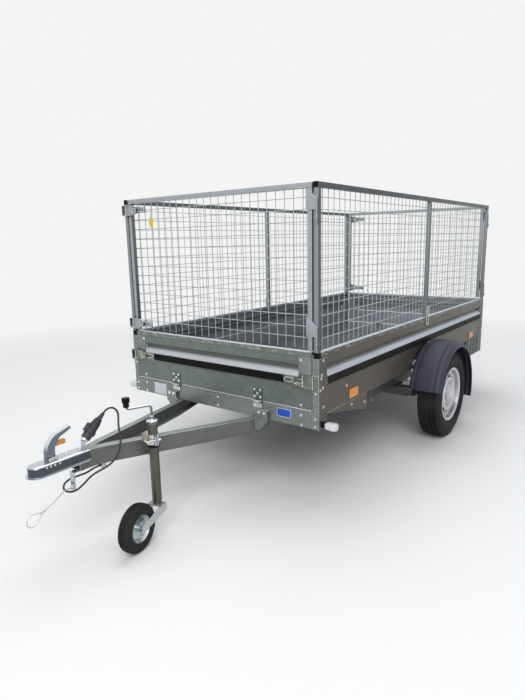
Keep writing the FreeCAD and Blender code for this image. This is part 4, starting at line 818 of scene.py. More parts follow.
def reflected(mesh: Mesh, name: str, reflection: Matrix) -> Mesh:
    """A mirrored copy of a mesh, with its faces still outwards."""
    copy = mesh.copy()
    copy.name = name
    copy.transform(reflection)
    copy.flip_normals()
    return copy


def mirrored(mesh: Mesh, name: str) -> Mesh:
    """The same mesh on the trailer's other side."""
    return reflected(mesh, name, Matrix.Scale(-1.0, 4, (1, 0, 0)))


def swapped(mesh: Mesh, name: str) -> Mesh:
    """The same mesh at the other end of the box."""
    middle = Matrix.Translation((0.0, BOX.front_y + BOX.rear_y, 0.0))
    return reflected(mesh, name, middle @ Matrix.Scale(-1.0, 4, (0, 1, 0)))


def paired(mesh: Mesh, name: str) -> Mesh:
    """A mesh and its mirror image on the trailer's other side, as one."""
    return joined((mesh, mirrored(mesh, name + "_right")), name)


def moved(mesh: Mesh, place: Point) -> Mesh:
    """Shift a mesh by millimetres and give it back."""
    mesh.transform(Matrix.Translation(tuple(part * MM for part in place)))
    return mesh


def upended(mesh: Mesh) -> Mesh:
    """Turn a mesh so that what lay along x stands upright, and give it back."""
    mesh.transform(Matrix(((0, 0, 1, 0), (0, 1, 0, 0), (1, 0, 0, 0), (0, 0, 0, 1))))
    mesh.flip_normals()
    return mesh


@dataclass(frozen=True)
class LoadBox:
    """Stations of the load box in metres, as the CAD has them."""

    half: float
    front_y: float
    rear_y: float
    rim: float
    mesh_top: float


# The right mesh side carries no rings, so its ends are the box's ends; the caps are as wide as the box
MESH_LOW, MESH_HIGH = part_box("side_mesh_right")
BOX = LoadBox(
    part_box("mesh_caps")[1].x, MESH_LOW.y, MESH_HIGH.y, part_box("side_panel_left")[1].z, MESH_HIGH.z)


def hinge_feet() -> Pair:
    """Heights of the lower ends of the gates' two hinges in millimetres."""
    return BOX.mesh_top / MM - 120, BOX.rim / MM + 74


# Mesh sides and gates

def wire_tree() -> Geometry:
    """Tree that lays round, slightly wavy wires side by side.

    Returns:
        A tree with the wires along Z and their row along X, from the origin.
    """
    tree = Geometry("wire_row", {
        "Length": 1.0, "Count": 10, "Pitch": 0.05, "Radius": 0.002, "Sides": 6, "Wave": 0.001,
        "Joints": 12, "Seed": 3.0})
    end = tree.vector(0.0, 0.0, tree.value("Length"))
    line = tree.add("GeometryNodeCurvePrimitiveLine", {"End": end})
    row = tree.add("GeometryNodeMeshLine", {
        "Count": tree.value("Count"), "Offset": tree.vector(tree.value("Pitch"), 0.0, 0.0)})
    placed = tree.add("GeometryNodeInstanceOnPoints", {"Points": row.outputs[0], "Instance": line.outputs[0]})
    real = tree.add("GeometryNodeRealizeInstances", {0: placed.outputs[0]})
    dense = tree.add("GeometryNodeResampleCurve", {"Curve": real.outputs[0], "Count": tree.value("Joints")})
    place = tree.add("GeometryNodeInputPosition").outputs[0]
    noise = tree.add(
        "ShaderNodeTexNoise", {"Vector": place, "W": tree.value("Seed"), "Scale": 9.0, "Detail": 1.0},
        noise_dimensions="4D")
    centred = tree.vector_math("SUBTRACT", noise.outputs["Color"], (0.5, 0.5, 0.5))
    flat = tree.vector_math("MULTIPLY", centred, (1.0, 0.7, 0.0))
    shift = tree.add("ShaderNodeVectorMath", {0: flat, "Scale": tree.value("Wave")}, operation="SCALE")
    bent = tree.add("GeometryNodeSetPosition", {"Geometry": dense.outputs[0], "Offset": shift.outputs[0]})
    ring = tree.add("GeometryNodeCurvePrimitiveCircle", {
        "Resolution": tree.value("Sides"), "Radius": tree.value("Radius")})
    tube = tree.add("GeometryNodeCurveToMesh", {
        "Curve": bent.outputs[0], "Profile Curve": ring.outputs[0], "Fill Caps": True})
    tree.close(tube.outputs[0])
    return tree


@dataclass
class WireMesh:
    """A panel of welded wire mesh: uprights outside and cross wires inside."""

    tree: Geometry
    name: str
    width: float
    height: float
    upright_count: int
    cross_count: int
    wire: float = 2.0
    wave: float = 2.4
    sides: int = 7
    joint_gap: float = 55.0
    seeds: Pair = (1.0, 7.0)
    overlap: float = 1.9

    def row(self, length: float, width: float, count: int, seed: float) -> Mesh:
        """One row of parallel wires along Z.

        Args:
            length: Length of a wire.
            width: Distance between the supports beside the row.
            count: Number of spaces, one more than the number of wires.
            seed: Place in the noise that bends them.

        Returns:
            The row, starting one pitch from the origin.
        """
        pitch = width / count
        mesh = self.tree.run(self.name + "_row", {
            "Length": length * MM, "Count": count - 1, "Pitch": pitch * MM, "Radius": self.wire * MM,
            "Sides": self.sides, "Wave": self.wave * MM, "Joints": max(6, round(length / self.joint_gap)),
            "Seed": seed, "Material": Look.WIRE.material})
        return moved(mesh, (pitch, 0.0, 0.0))

    def build(self) -> Mesh:
        """Both rows, with x across, z up and the cross wires behind the uprights."""
        uprights = self.row(self.height, self.width, self.upright_count, self.seeds[0])
        crosses = upended(self.row(self.width, self.height, self.cross_count, self.seeds[1]))
        moved(crosses, (0.0, self.overlap * self.wire, 0.0))
        return joined((uprights, crosses), self.name)


@dataclass
class MeshSides:
    """The two fixed mesh sides."""

    tube: float = 25.0
    wire: float = 2.0
    pitch: float = 52.5
    middle_post: float = 1365.0
    post_foot: float = -2.0
    ring_radius: float = 9.0
    ring_bore: float = 5.4
    ring_height: float = 20.0
    ring_drop: float = 32.0
    pin_out: float = 8.0
    pin_in: float = 3.0

    def tubes(self) -> Mesh:
        """Rail and posts of the left side."""
        half, front, rear = BOX.half / MM, BOX.front_y / MM, BOX.rear_y / MM
        rim, top = BOX.rim / MM, BOX.mesh_top / MM
        inner = half - self.tube
        spans = [((inner, front, top - self.tube), (half, rear, top))]
        for y, foot in ((front, rim + self.post_foot), (front + self.middle_post, rim + 0.3),
                        (rear - self.tube, rim + self.post_foot)):
            spans.append(((inner, y, foot), (half, y + self.tube, top - self.tube + 0.2)))
        return boxes(spans, "side_tubes", TUBE_EDGE)

    def rings(self) -> Mesh:
        """Rings on the left posts that take the gates' pins."""
        half, front = BOX.half / MM, BOX.front_y / MM
        made = []
        for foot in hinge_feet():
            profile = rounded([
                (0, self.ring_bore), (0, self.ring_radius), (self.ring_height, self.ring_radius),
                (self.ring_height, self.ring_bore)], 1.0)
            low = foot - self.ring_height - self.ring_drop
            made.append(moved(
                upended(turned(profile, 24, "ring")), (half - self.pin_in, front - self.pin_out, low)))
        ahead = joined(made, "rings")
        return joined((ahead, swapped(ahead, "rings_rear")), "rings")

    def build(self, tree: Geometry) -> None:
        """Show both sides."""
        length = (BOX.rear_y - BOX.front_y) / MM - 2 * self.tube
        height = (BOX.mesh_top - BOX.rim) / MM
        wires = WireMesh(tree, "side_grid", length, height - 8, round(length / self.pitch),
                         round((height - self.tube) / self.pitch)).build()
        # across becomes rearwards, and behind the uprights becomes inwards
        wires.transform(Matrix(((0, -1, 0, 0), (1, 0, 0, 0), (0, 0, 1, 0), (0, 0, 0, 1))))
        wires.transform(Matrix.Translation((
            BOX.half - (self.tube + self.wire) * MM, BOX.front_y + self.tube * MM, BOX.rim + 0.0003)))
        tubes, rings = self.tubes(), self.rings()
        toggle = Toggle(BOX.front_y / MM + self.middle_post + self.tube / 2).build()
        show("toggles", paired(toggle, "toggles"), Look.BOLT, "chassis")
        for side, flip in (("left", False), ("right", True)):
            mesh = joined((tubes,) if flip else (tubes, rings), "side_frame_" + side)
            grid = wires.copy()
            if flip:
                mesh = mirrored(mesh, "side_frame_right")
                grid = mirrored(grid, "side_grid_right")
            show("side_frame_" + side, mesh, Look.TUBE_SIDE, "chassis", ("side_mesh_" + side,))
            show("side_grid_" + side, grid, Look.WIRE, "chassis", ("side_wires_" + side,), WIRE_SMOOTH)


# Fasteners

def bolt_tree() -> Geometry:
    """Tree that sets a washer and a crowned head on each point of a mesh, along the point's aim.

    Returns:
        A tree that reads a mesh of points with the vector attribute aim.
    """
    tree = Geometry("bolt_heads", {
        "Head": 0.005, "Sides": 6, "Depth": 0.003, "Washer": 0.008}, takes_mesh=True)
    thick = 0.0012
    washer = tree.add("GeometryNodeMeshCylinder", {
        "Vertices": 20, "Radius": tree.value("Washer"), "Depth": thick})
    flat = tree.add("GeometryNodeTransform", {
        "Geometry": washer.outputs[0], "Translation": (0.0, 0.0, thick / 2)})
    head = tree.add("GeometryNodeMeshCylinder", {
        "Vertices": tree.value("Sides"), "Radius": tree.value("Head"), "Depth": tree.value("Depth")})
    rise = tree.math("ADD", thick, tree.math("MULTIPLY", tree.value("Depth"), 0.5))
    seated = tree.add("GeometryNodeTransform", {
        "Geometry": head.outputs[0], "Translation": tree.vector(0.0, 0.0, rise)})
    crown = tree.add("GeometryNodeMeshUVSphere", {
        "Segments": 16, "Rings": 8, "Radius": tree.math("MULTIPLY", tree.value("Head"), 0.82)})
    top = tree.math("ADD", thick, tree.value("Depth"))
    domed = tree.add("GeometryNodeTransform", {
        "Geometry": crown.outputs[0], "Translation": tree.vector(0.0, 0.0, top),
        "Scale": (1.0, 1.0, 0.25)})
    whole = tree.join(flat.outputs[0], seated.outputs[0], domed.outputs[0])
    aim = tree.add("GeometryNodeInputNamedAttribute", {"Name": "aim"}, data_type="FLOAT_VECTOR")
    turn = tree.add("FunctionNodeAlignRotationToVector", {"Vector": aim.outputs[0]}, axis="Z")
    placed = tree.add("GeometryNodeInstanceOnPoints", {
        "Points": tree.source.outputs[0], "Instance": whole, "Rotation": turn.outputs[0]})
    tree.close(placed.outputs[0])
    return tree


Spot = tuple[Point, Point]


def both_sides(spots: Iterable[Spot]) -> list[Spot]:
    """The spots and their mirror images on the trailer's other side."""
    spots = list(spots)
    return spots + [((-x, y, z), (-a, b, c)) for (x, y, z), (a, b, c) in spots]


def other_end(spots: Iterable[Spot]) -> list[Spot]:
    """The spots' mirror images at the other end of the box."""
    total = (BOX.front_y + BOX.rear_y) / MM
    return [((x, total - y, z), (a, -b, c)) for (x, y, z), (a, b, c) in spots]


@dataclass
class Bolts:
    """Bolt heads of one size on one body, each with its place in millimetres and its aim."""

    name: str
    body: str
    look: Look
    spots: Sequence[Spot]
    head: float = 5.0
    depth: float = 3.0
    washer: float = 8.0
    sides: int = 6

    def build(self, tree: Geometry) -> None:
        """Show the heads."""
        points = bpy.data.meshes.new(self.name + "_points")
        points.from_pydata([tuple(part * MM for part in place) for place, _ in self.spots], [], [])
        aims = points.attributes.new("aim", "FLOAT_VECTOR", "POINT")
        aims.data.foreach_set("vector", [part for _, aim in self.spots for part in aim])
        mesh = tree.run(self.name, {
            "Head": self.head * MM, "Sides": self.sides, "Depth": self.depth * MM, "Washer": self.washer * MM,
            "Material": self.look.material}, points)
        show(self.name, mesh, self.look, self.body)


def all_bolts() -> list[Bolts]:
    """Every group of bolts on the trailer."""
    front = BOX.front_y / MM
    ahead, left = (0.0, -1.0, 0.0), (1.0, 0.0, 0.0)
    leaf = front - 3.3
    post = [((x, front, z), ahead) for x, z in ((649.0, 608.0), (646.0, 481.0), (647.0, 442.0))]
    post += [((BOX.half / MM + 2.8, front + y, z), left) for y, z in (
        (38.7, 765.7), (24.4, 697.0), (19.9, 681.0), (35.5, 632.4), (12.5, 624.7), (39.5, 536.7))]
    post += [((BOX.half / MM, front + y, z), left) for y, z in (
        (480.1, 449.5), (330.9, 474.2), (275.1, 588.9))]
    sill = [((x, front, z), ahead) for x, z in ((566.0, 487.0), (568.0, 437.0))]
    low_leaf = [((x, leaf, 492.0), ahead) for x in (280.0, 320.0)]
    high_leaf = [((x, leaf, z), ahead) for x, z in (
        (281.0, 577.0), (319.0, 577.0), (300.0, 558.0), (281.0, 540.0), (319.0, 540.0))]
    fixed = both_sides(post + sill + low_leaf) + [((20.0, front, z), ahead) for z in (490.0, 444.0)]
    moving = both_sides(high_leaf + [((566.5, front, 540.0), ahead), ((568.0, front - 1.2, 763.0), ahead)])
    bracket = both_sides([((x, front - 18.0, 461.0), ahead) for x in (317.0, 350.0)])
    coupling = both_sides([((36.7, y, 457.0), left) for y in (-1848.0, -1830.0, -1812.0, -1790.0)])
    top = [((0.0, y, 468.5), (0.0, 0.0, 1.0)) for y in (-1735.0, -1672.0)]
    guard = both_sides([((x, 599.0 + y, z), (0.0, y / 360.0, 0.9)) for x, y, z in (
        (690.0, -60.0, 642.4), (690.0, 60.0, 642.4))])
    return [
        Bolts("frame_bolts", "chassis", Look.BOLT, fixed),
        Bolts("rear_frame_bolts", "chassis", Look.BOLT, other_end(both_sides(post + low_leaf))),
        Bolts("front_lid_bolts", "front_lid", Look.BOLT, moving),
        Bolts("rear_lid_bolts", "rear_lid", Look.BOLT, other_end(moving)),
        Bolts("bracket_bolts", "chassis", Look.BOLT, bracket + top, head=7.0, depth=4.5, washer=11.0),
        Bolts("coupling_rivets", "chassis", Look.BOLT, coupling, head=3.4, depth=1.6, washer=4.5, sides=12),
        Bolts("guard_bolts", "chassis", Look.BOLT, guard, head=5.0, washer=9.0),
    ]


# Over-centre latches

def wire(points: Sequence[Point], radius: float, name: str, sides: int = 4) -> Mesh:
    """Round wire bent through points in millimetres, with rounded corners.

    Args:
        points: Corners of the wire's line.
        radius: Radius of the wire.
        name: Name of the mesh.
        sides: Facets in a quarter turn.

    Returns:
        The wire as a closed mesh.
    """
    data = bpy.data.curves.new(name, "CURVE")
    data.dimensions = "3D"
    data.bevel_depth = radius * MM
    data.bevel_resolution = sides
    data.use_fill_caps = True
    spline = data.splines.new("BEZIER")
    dense = [Vector(points[0])]
    for before, corner, after in zip(points, points[1:], points[2:]):
        corner = Vector(corner)
        into, out = corner - Vector(before), Vector(after) - corner
        back = min(2.5 * radius, 0.4 * into.length, 0.4 * out.length)
        dense += [corner - into.normalized() * back, corner, corner + out.normalized() * back]
    dense.append(Vector(points[-1]))
    rounded_line = [dense[0]]
    for index in range(1, len(dense) - 1, 3):
        start, corner, end = dense[index:index + 3]
        for step in range(5):
            share = step / 4
            rounded_line.append(start.lerp(corner, share).lerp(corner.lerp(end, share), share))
    rounded_line.append(dense[-1])
    spline.bezier_points.add(len(rounded_line) - 1)
    for point, place in zip(spline.bezier_points, rounded_line):
        point.co = place * MM
        point.handle_left_type = point.handle_right_type = "VECTOR"
    spline.resolution_u = 1
    holder = bpy.data.objects.new(name, data)
    bpy.context.scene.collection.objects.link(holder)
    graph = bpy.context.evaluated_depsgraph_get()
    mesh = bpy.data.meshes.new_from_object(holder.evaluated_get(graph), depsgraph=graph)
    bpy.data.objects.remove(holder)
    return mesh


def plate(outline: Sequence[Pair], back: float, front: float, name: str,
          edge: float = 0.8) -> Mesh:
    """Flat plate with rounded edges, facing forwards.

    Args:
        outline: Run of (x, z) corners in millimetres.
        back: Y of the rear face.
        front: Y of the front face.
        name: Name of the mesh.
        edge: Rounding of its edges.

    Returns:
        The plate.
    """
    shape = bmesh.new()
    rings = [[shape.verts.new((x * MM, y * MM, z * MM)) for x, z in outline] for y in (back, front)]
    shape.faces.new(rings[0])
    shape.faces.new(rings[1][::-1])
    for index in range(len(outline)):
        after = (index + 1) % len(outline)
        shape.faces.new((rings[0][index], rings[1][index], rings[1][after], rings[0][after]))
    bmesh.ops.recalc_face_normals(shape, faces=shape.faces)
    round_edges(shape, edge)
    return to_mesh(shape, name)


@dataclass
class Latch:
    """Over-centre latch at the left end of a front panel: lever, bail wires and ribbed hook plate."""

    post_x: float
    height: float
    out: float
    reach: float = 190.0
    plate_length: float = 66.0
    wide: float = 60.0
    narrow: float = 34.0
    depth: float = 15.6
    skin: float = 2.6
    bail: float = 2.4
    pin: float = 3.4
    pivot_share: float = 0.42
    tail_share: float = 0.12
    ridge_shares: Pair = (0.42, 0.72)

    def outline(self, inset: float) -> list[Pair]:
        """Tapering outline of the lever, drawn in by an inset."""
        tip = self.post_x - self.reach + self.plate_length + inset
        neck, end = self.post_x - 0.3 * self.reach, self.post_x - inset
        wide, narrow = self.wide / 2 - inset, self.narrow / 2 - inset
        run = [(end, -wide), (end, wide), (neck, wide), (tip, narrow), (tip, -narrow), (neck, -wide)]
        return [(x, self.height + z) for x, z in loop(run, 7.0)]

    def lever(self) -> Mesh:
        """Pressed tray with its rim turned outwards."""
        base = BOX.front_y / MM - self.out
        levels = (
            (0.0, base), (0.0, base - self.depth), (self.skin, base - self.depth),
            (self.skin + 1.5, base - self.skin))
        return skinned(([(x, y, z) for x, z in self.outline(inset)] for inset, y in levels), "lever")

    def build(self) -> tuple[Mesh, Mesh]:
        """The latch's plates, and its wires and pins."""
        back, end = BOX.front_y / MM - self.out, self.post_x - self.reach
        wire_y = back - self.skin - self.bail
        low, high = self.height - self.narrow / 2, self.height + self.narrow / 2
        hook = rectangle(end, low, end + self.plate_length - 4, high)
        parts = [
            self.lever(), plate(hook, back + 0.1, back - 2.6, "hook_plate"),
            plate(rectangle(end, low, end + 4, high), back - 1.5, wire_y - self.bail - 0.4, "hook_lip")]
        for share in self.ridge_shares:
            x = end + share * self.plate_length
            ridge = rectangle(x - 3, low + 5, x + 3, high - 5)
            parts.append(plate(ridge, back - 2.0, back - 5.4, "hook_ridge", 1.4))
        side = self.narrow / 2 - self.skin - 5
        below, above = self.height - side, self.height + side
        pivot = self.post_x - self.pivot_share * self.reach
        bail = [(pivot, wire_y, below), (end + 6, wire_y, below), (end + 6, wire_y, above),
                (pivot, wire_y, above)]
        wires = [wire(bail, self.bail, "bail")]
        reach = self.wide / 2 - self.skin
        for x in (pivot, self.post_x - self.tail_share * self.reach):
            line = [(x, wire_y, self.height - reach), (x, wire_y, self.height + reach)]
            wires.append(wire(line, self.pin, "latch_pin"))
        return joined(parts, "latch"), joined(wires, "latch_wires")


@dataclass
class LidFittings:
    """Latches and moving hinge halves of the two drop lids."""

    height: float = 662.0
    out: float = 6.4
    hinge_z: float = 515.0
    hinge_x: float = 300.0
    leaf_width: float = 58.0
    leaf_top: float = 589.0
    barrel: float = 7.7
    knuckle_half: float = 11.0
    # Heights of the bright strip along the lids' hemmed lower edge: a painted highlight
    highlight_hem: Pair = (516.6, 522.4)
    end_low: Pair = (555.0, 694.0)
    end_high: float = 781.0
    low_leaf: tuple[float, float, float, float] = (272.0, 480.0, 328.0, 505.0)

    def hinge(self) -> tuple[Mesh, Mesh]:
        """Leaf and middle knuckle at the left, as two meshes."""
        front, x = BOX.front_y / MM, self.hinge_x
        half, short = self.leaf_width / 2, self.knuckle_half
        low, high = self.hinge_z + 9.0, self.leaf_top
        leaf = plate([(x - half, low), (x + half, low), (x + half, high - 6), (x + half - 6, high),
                      (x - half + 6, high), (x - half, high - 6)], front - 0.3, front - 3.3, "hinge_leaf")
        tongue = plate(rectangle(x - short, self.hinge_z + 5, x + short, low + 2),
                       front - 0.3, front - 3.3, "hinge_tongue", 0.4)
        profile = rounded([(-short, 4.3), (-short, self.barrel), (short, self.barrel), (short, 4.3)], 1.0)
        knuckle = moved(turned(profile, 28, "knuckle"), (x, front - 8.0, self.hinge_z))
        return joined((leaf, tongue), "hinge"), knuckle

    def build(self) -> None:
        """Show the fittings of both lids."""
        plates, wires = Latch(BOX.half / MM - 2, self.height, self.out).build()
        leaf, knuckle = self.hinge()
        bright = joined((paired(wires, "wires"), paired(knuckle, "knuckles")), "latch_wires")
        groups = (
            ("latches", paired(plates, "latches"), Look.YELLOW_ZINC),
            ("hinges", paired(leaf, "hinges"), Look.HINGE), ("latch_wires", bright, Look.BOLT))
        for label, mesh, look in groups:
            for end in ("front", "rear"):
                stands_for = (end + "_lid_fittings",) if label == "latches" else ()
                placed = mesh.copy() if end == "front" else swapped(mesh, label)
                show(end + "_lid_" + label, placed, look, end + "_lid", stands_for)
        self.lips()

    def lips(self) -> None:
        """Show a bright strip along each lid's hemmed lower edge as a painted highlight, each lid's end
        plates, and the lower hinge leaves.
        """
        front, half = BOX.front_y / MM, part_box("front_lid")[1].x / MM
        low, high = self.highlight_hem
        # Bright strip as a painted highlight along the hemmed lower edge
        highlight_hem = boxes((((-half + 1, front - 2.0, low), (half - 1, front + 0.6, high)),), "highlight_hem", 0.8)
        end = plate(loop(rectangle(*self.end_low, half - 1.5, self.end_high), 2.0),
                    front + 0.3, front - 1.2, "lid_end", 0.3)
        for label, mesh, look in (
                ("highlight_hem", highlight_hem, Look.BOLT), ("ends", paired(end, "lid_ends"), Look.SHEET_FRAME)):
            show("front_lid_" + label, mesh, look, "front_lid")
            show("rear_lid_" + label, swapped(mesh, "rear_lid_" + label), look, "rear_lid")
        leaf = plate(loop(rectangle(*self.low_leaf), 3.0), front - 3.2, front - 4.2, "low_leaf", 0.3)
        leaves = paired(leaf, "low_leaves")
        show("low_leaves", joined((leaves, swapped(leaves, "rear")), "low_leaves"), Look.BOLT, "chassis")


@dataclass
class Gates:
    """The two mesh gates: frame, wires, hinge plates with pins, and latches."""

    tube: float = 25.0
    wire: float = 2.0
    pitch: float = 52.5
    gap: float = 8.0
    proud: float = 1.0
    rise: float = 8.0
    pin_radius: float = 5.0
    pin_out: float = 8.0
    pin_in: float = 3.0

    def frame_mesh(self) -> Mesh:
        """Rail and two uprights."""
        reach, front = BOX.half / MM - self.tube - self.gap, BOX.front_y / MM - self.proud
        top, bottom = BOX.mesh_top / MM, BOX.rim / MM + self.rise
        spans = [((-reach, front, top - self.tube), (reach, front + self.tube, top))]
        for low in (-reach, reach - self.tube):
            spans.append(((low, front, bottom), (low + self.tube, front + self.tube, top - self.tube + 0.2)))
        return boxes(spans, "gate_tubes", TUBE_EDGE)

    def hinge(self, foot: float) -> Mesh:
        """Three-cornered plate with the pin that drops into a ring."""
        half, front = BOX.half / MM, BOX.front_y / MM
        near = half - self.pin_in
        far = half - 2 * self.tube - self.gap - 6
        back = front - self.proud
        leaf = plate([(far, foot), (near, foot), (near, foot + 48), (far + 6, foot + 94), (far, foot + 94)],
                     back, back - 3.0, "gate_plate")
        y = front - self.pin_out
        pin = wire([(near, y, foot - 62), (near, y, foot + 46)], self.pin_radius, "gate_pin")
        return joined((leaf, pin), "gate_hinge")

    def foot(self, height: float) -> Mesh:
        """Block that carries a latch on the right upright."""
        reach, front = BOX.half / MM - self.tube - self.gap, BOX.front_y / MM
        low, high = -reach + 2, -reach + self.tube - 2
        return boxes([((low, front - 8.0, height - 12), (high, front - 1.3, height + 12))], "latch_foot", 1.5)

    def build(self, tree: Geometry) -> None:
        """Show both gates."""
        reach = BOX.half / MM - 1.5 * self.tube - self.gap
        bottom = BOX.rim / MM + self.rise
        height = BOX.mesh_top / MM - bottom - 8
        grid = WireMesh(tree, "gate_grid", 2 * reach, height, round(2 * reach / self.pitch),
                        round(height / self.pitch)).build()
        grid.transform(Matrix.Translation((
            -reach * MM, BOX.front_y + (self.tube - self.proud + self.wire) * MM, bottom * MM)))
        rim, top = BOX.rim / MM, BOX.mesh_top / MM
        parts = [self.frame_mesh()] + [self.hinge(foot) for foot in hinge_feet()]
        wires = []
        for height in (top - 62, rim + 48):
            plates, bail = Latch(BOX.half / MM - 1, height, 5.3).build()
            parts += [mirrored(plates, "latch"), self.foot(height)]
            wires.append(mirrored(bail, "latch_wires"))
        front, bails = joined(parts, "front_gate_frame"), joined(wires, "front_gate_bails")
        show("rear_gate_bails", swapped(bails, "rear_gate_bails"), Look.BOLT, "rear_gate")
        show("front_gate_bails", bails, Look.BOLT, "front_gate")
        rear, rear_grid = swapped(front, "rear_gate_frame"), swapped(grid, "rear_gate_grid")
        for end, frame_mesh, wire_mesh in (("rear_gate", rear, rear_grid), ("front_gate", front, grid)):
            show(end + "_frame", frame_mesh, Look.TUBE, end, (end,))
            show(end + "_grid", wire_mesh, Look.WIRE, end, (end + "_wires",), WIRE_SMOOTH)


# Wheels

@dataclass
class RoadWheel:
    """A road wheel: tyre with tread blocks, pressed rim with vents, and the places of its bolts."""

    centre_x: float = 772.0
    axle_y: float = 612.0
    radius: float = 289.0
    width: float = 156.0
    rim_radius: float = 182.4
    rim_width: float = 130.0
    steps: int = 96
    tread: float = 60.0
    block_depth: float = 6.5
    vents: int = 8
    bolts: int = 5
    bolt_circle: float = 49.0
    bolt_seat: float = 20.4
    face: float = 20.3
    sheet: float = 3.4
    vent_steps: int = 4
    # middle, width, blocks round, length share, slant, height below the crown
    rows: tuple[tuple[float, float, int, float, float, float], ...] = (
        (-51.0, 17.0, 66, 0.80, 8.0, 3.6), (-29.0, 18.0, 72, 0.84, -16.0, 1.0),
        (0.0, 26.0, 60, 0.9, 18.0, 0.3), (29.0, 18.0, 72, 0.84, -16.0, 1.0),
        (51.0, 17.0, 66, 0.80, 8.0, 3.6))

    def carcass(self) -> Mesh:
        """Tyre body up to the bottom of the tread."""
        side, edge = self.width / 2, self.rim_radius
        bead, crown = edge - 16.7, self.radius
        low = crown - self.block_depth
        outer = [
            (-57.5, bead), (-57.5, edge + 1), (-61, edge + 5), (-66, edge + 14), (-side + 1.5, edge + 30),
            (-side, (bead + crown) / 2 + 4), (-side + 2, crown - 42), (-side + 7, crown - 27),
            (-side + 10, crown - 25), (-side + 13, crown - 13), (-self.tread, crown - 7),
        ]
        middle = [(-self.tread + 8, low), (-20, low + 1.2)]
        inner = [
            (46, bead), (48, edge + 10), (side - 8, (bead + crown) / 2), (side - 11, crown - 36),
            (self.tread - 10, crown - 17),
        ]
        half_run = rounded(outer + middle, 9.0, 4)
        profile = half_run + [(-x, r) for x, r in half_run[::-1]]
        profile += inner + [(-x, r) for x, r in inner[::-1]]
        return turned(profile, self.steps, "carcass")

    def blocks(self, tree: Geometry) -> Mesh:
        """Tread blocks in five rows; the outer rows lean with the shoulder."""
        made = []
        for middle, width, count, share, slant, drop in self.rows:
            length = math.tau * self.radius / count * share
            lean = -7.0 * middle / 51.0 if abs(middle) > 40 else 0.0
            made.append(tree.run("tread_row", {
                "Middle": middle * MM, "Width": width * MM, "Length": length * MM,
                "Height": (self.block_depth + 3.0) * MM, "Crown": (self.radius - drop) * MM,
                "Count": count, "Slant": math.radians(slant), "Lean": math.radians(lean),
                "Material": Look.TYRE.material}))
        return joined(made, "tread_blocks")

    def disc(self) -> Mesh:
        """Pressed disc with its bolt face, raised ring and oval vents, as a closed sheet."""
        face, well = self.face, self.rim_radius - 40
        run = rounded(
            [(face, 30), (face, 62), (face + 5, 70), (face + 27, 84), (face + 34, 96), (face + 34, 107),
             (face + 30, 115), (face + 27, 118)], 8.0, 3)
        run += [(face + 21, 123), (face + 14, 128), (face + 6, 133), (face - 12, well + 1.5)]
        shape = bmesh.new()
        rings = []
        for step in range(self.steps):
            angle = math.tau * step / self.steps
            rings.append([
                shape.verts.new((x * MM, r * MM * math.sin(angle), r * MM * math.cos(angle)))
                for x, r in run])
        first_hole = len(run) - 5
        for step, (ring, after) in enumerate(zip(rings, rings[1:] + rings[:1])):
            in_vent = (step + 2) % (self.steps // self.vents) < self.vent_steps
            for index in range(len(run) - 1):
                if in_vent and first_hole <= index < first_hole + 3:
                    continue
                shape.faces.new((ring[index], ring[index + 1], after[index + 1], after[index]))
        bmesh.ops.recalc_face_normals(shape, faces=shape.faces)
        if sum(made.normal.x for made in shape.faces) < 0:
            bmesh.ops.reverse_faces(shape, faces=shape.faces)
        bmesh.ops.solidify(shape, geom=list(shape.faces), thickness=self.sheet * MM)
        bmesh.ops.recalc_face_normals(shape, faces=shape.faces)
        return to_mesh(shape, "disc")

    def barrel(self) -> Mesh:
        """Rim barrel with its rolled flanges, closed."""
        edge, flange = self.rim_width / 2, self.rim_radius
        well, seat = flange - 40, flange - 17
        run = rounded([
            (-edge, flange - 3), (-edge + 1.5, flange), (-edge + 5, flange), (-edge + 7, seat),
            (-edge + 26, seat), (-edge + 36, well), (edge - 46, well), (edge - 34, seat),
            (edge - 7, seat), (edge - 5, flange), (edge - 1.5, flange), (edge, flange - 3),
        ], 3.5, 3)
        inner = rounded([
            (edge - 3, flange - 5), (edge - 5, seat - 4), (edge - 33, seat - 4), (edge - 45, well - 4),
            (-edge + 35, well - 4), (-edge + 25, seat - 4), (-edge + 5, seat - 4), (-edge + 3, flange - 5),
        ], 3.0, 2)
        return turned(run + inner, self.steps, "barrel")

    def rim(self) -> Mesh:
        """Disc and barrel as one mesh."""
        return joined((self.disc(), self.barrel()), "rim")

    def bolt_spots(self) -> list[Spot]:
        """Places of the wheel bolts on the left wheel."""
        spots = []
        for index in range(self.bolts):
            angle = math.tau * (index + 0.25) / self.bolts
            y, z = self.bolt_circle * math.sin(angle), self.bolt_circle * math.cos(angle)
            place = (self.centre_x + self.bolt_seat, self.axle_y + y, self.radius + z)
            spots.append((place, (1.0, 0.0, 0.0)))
        return spots


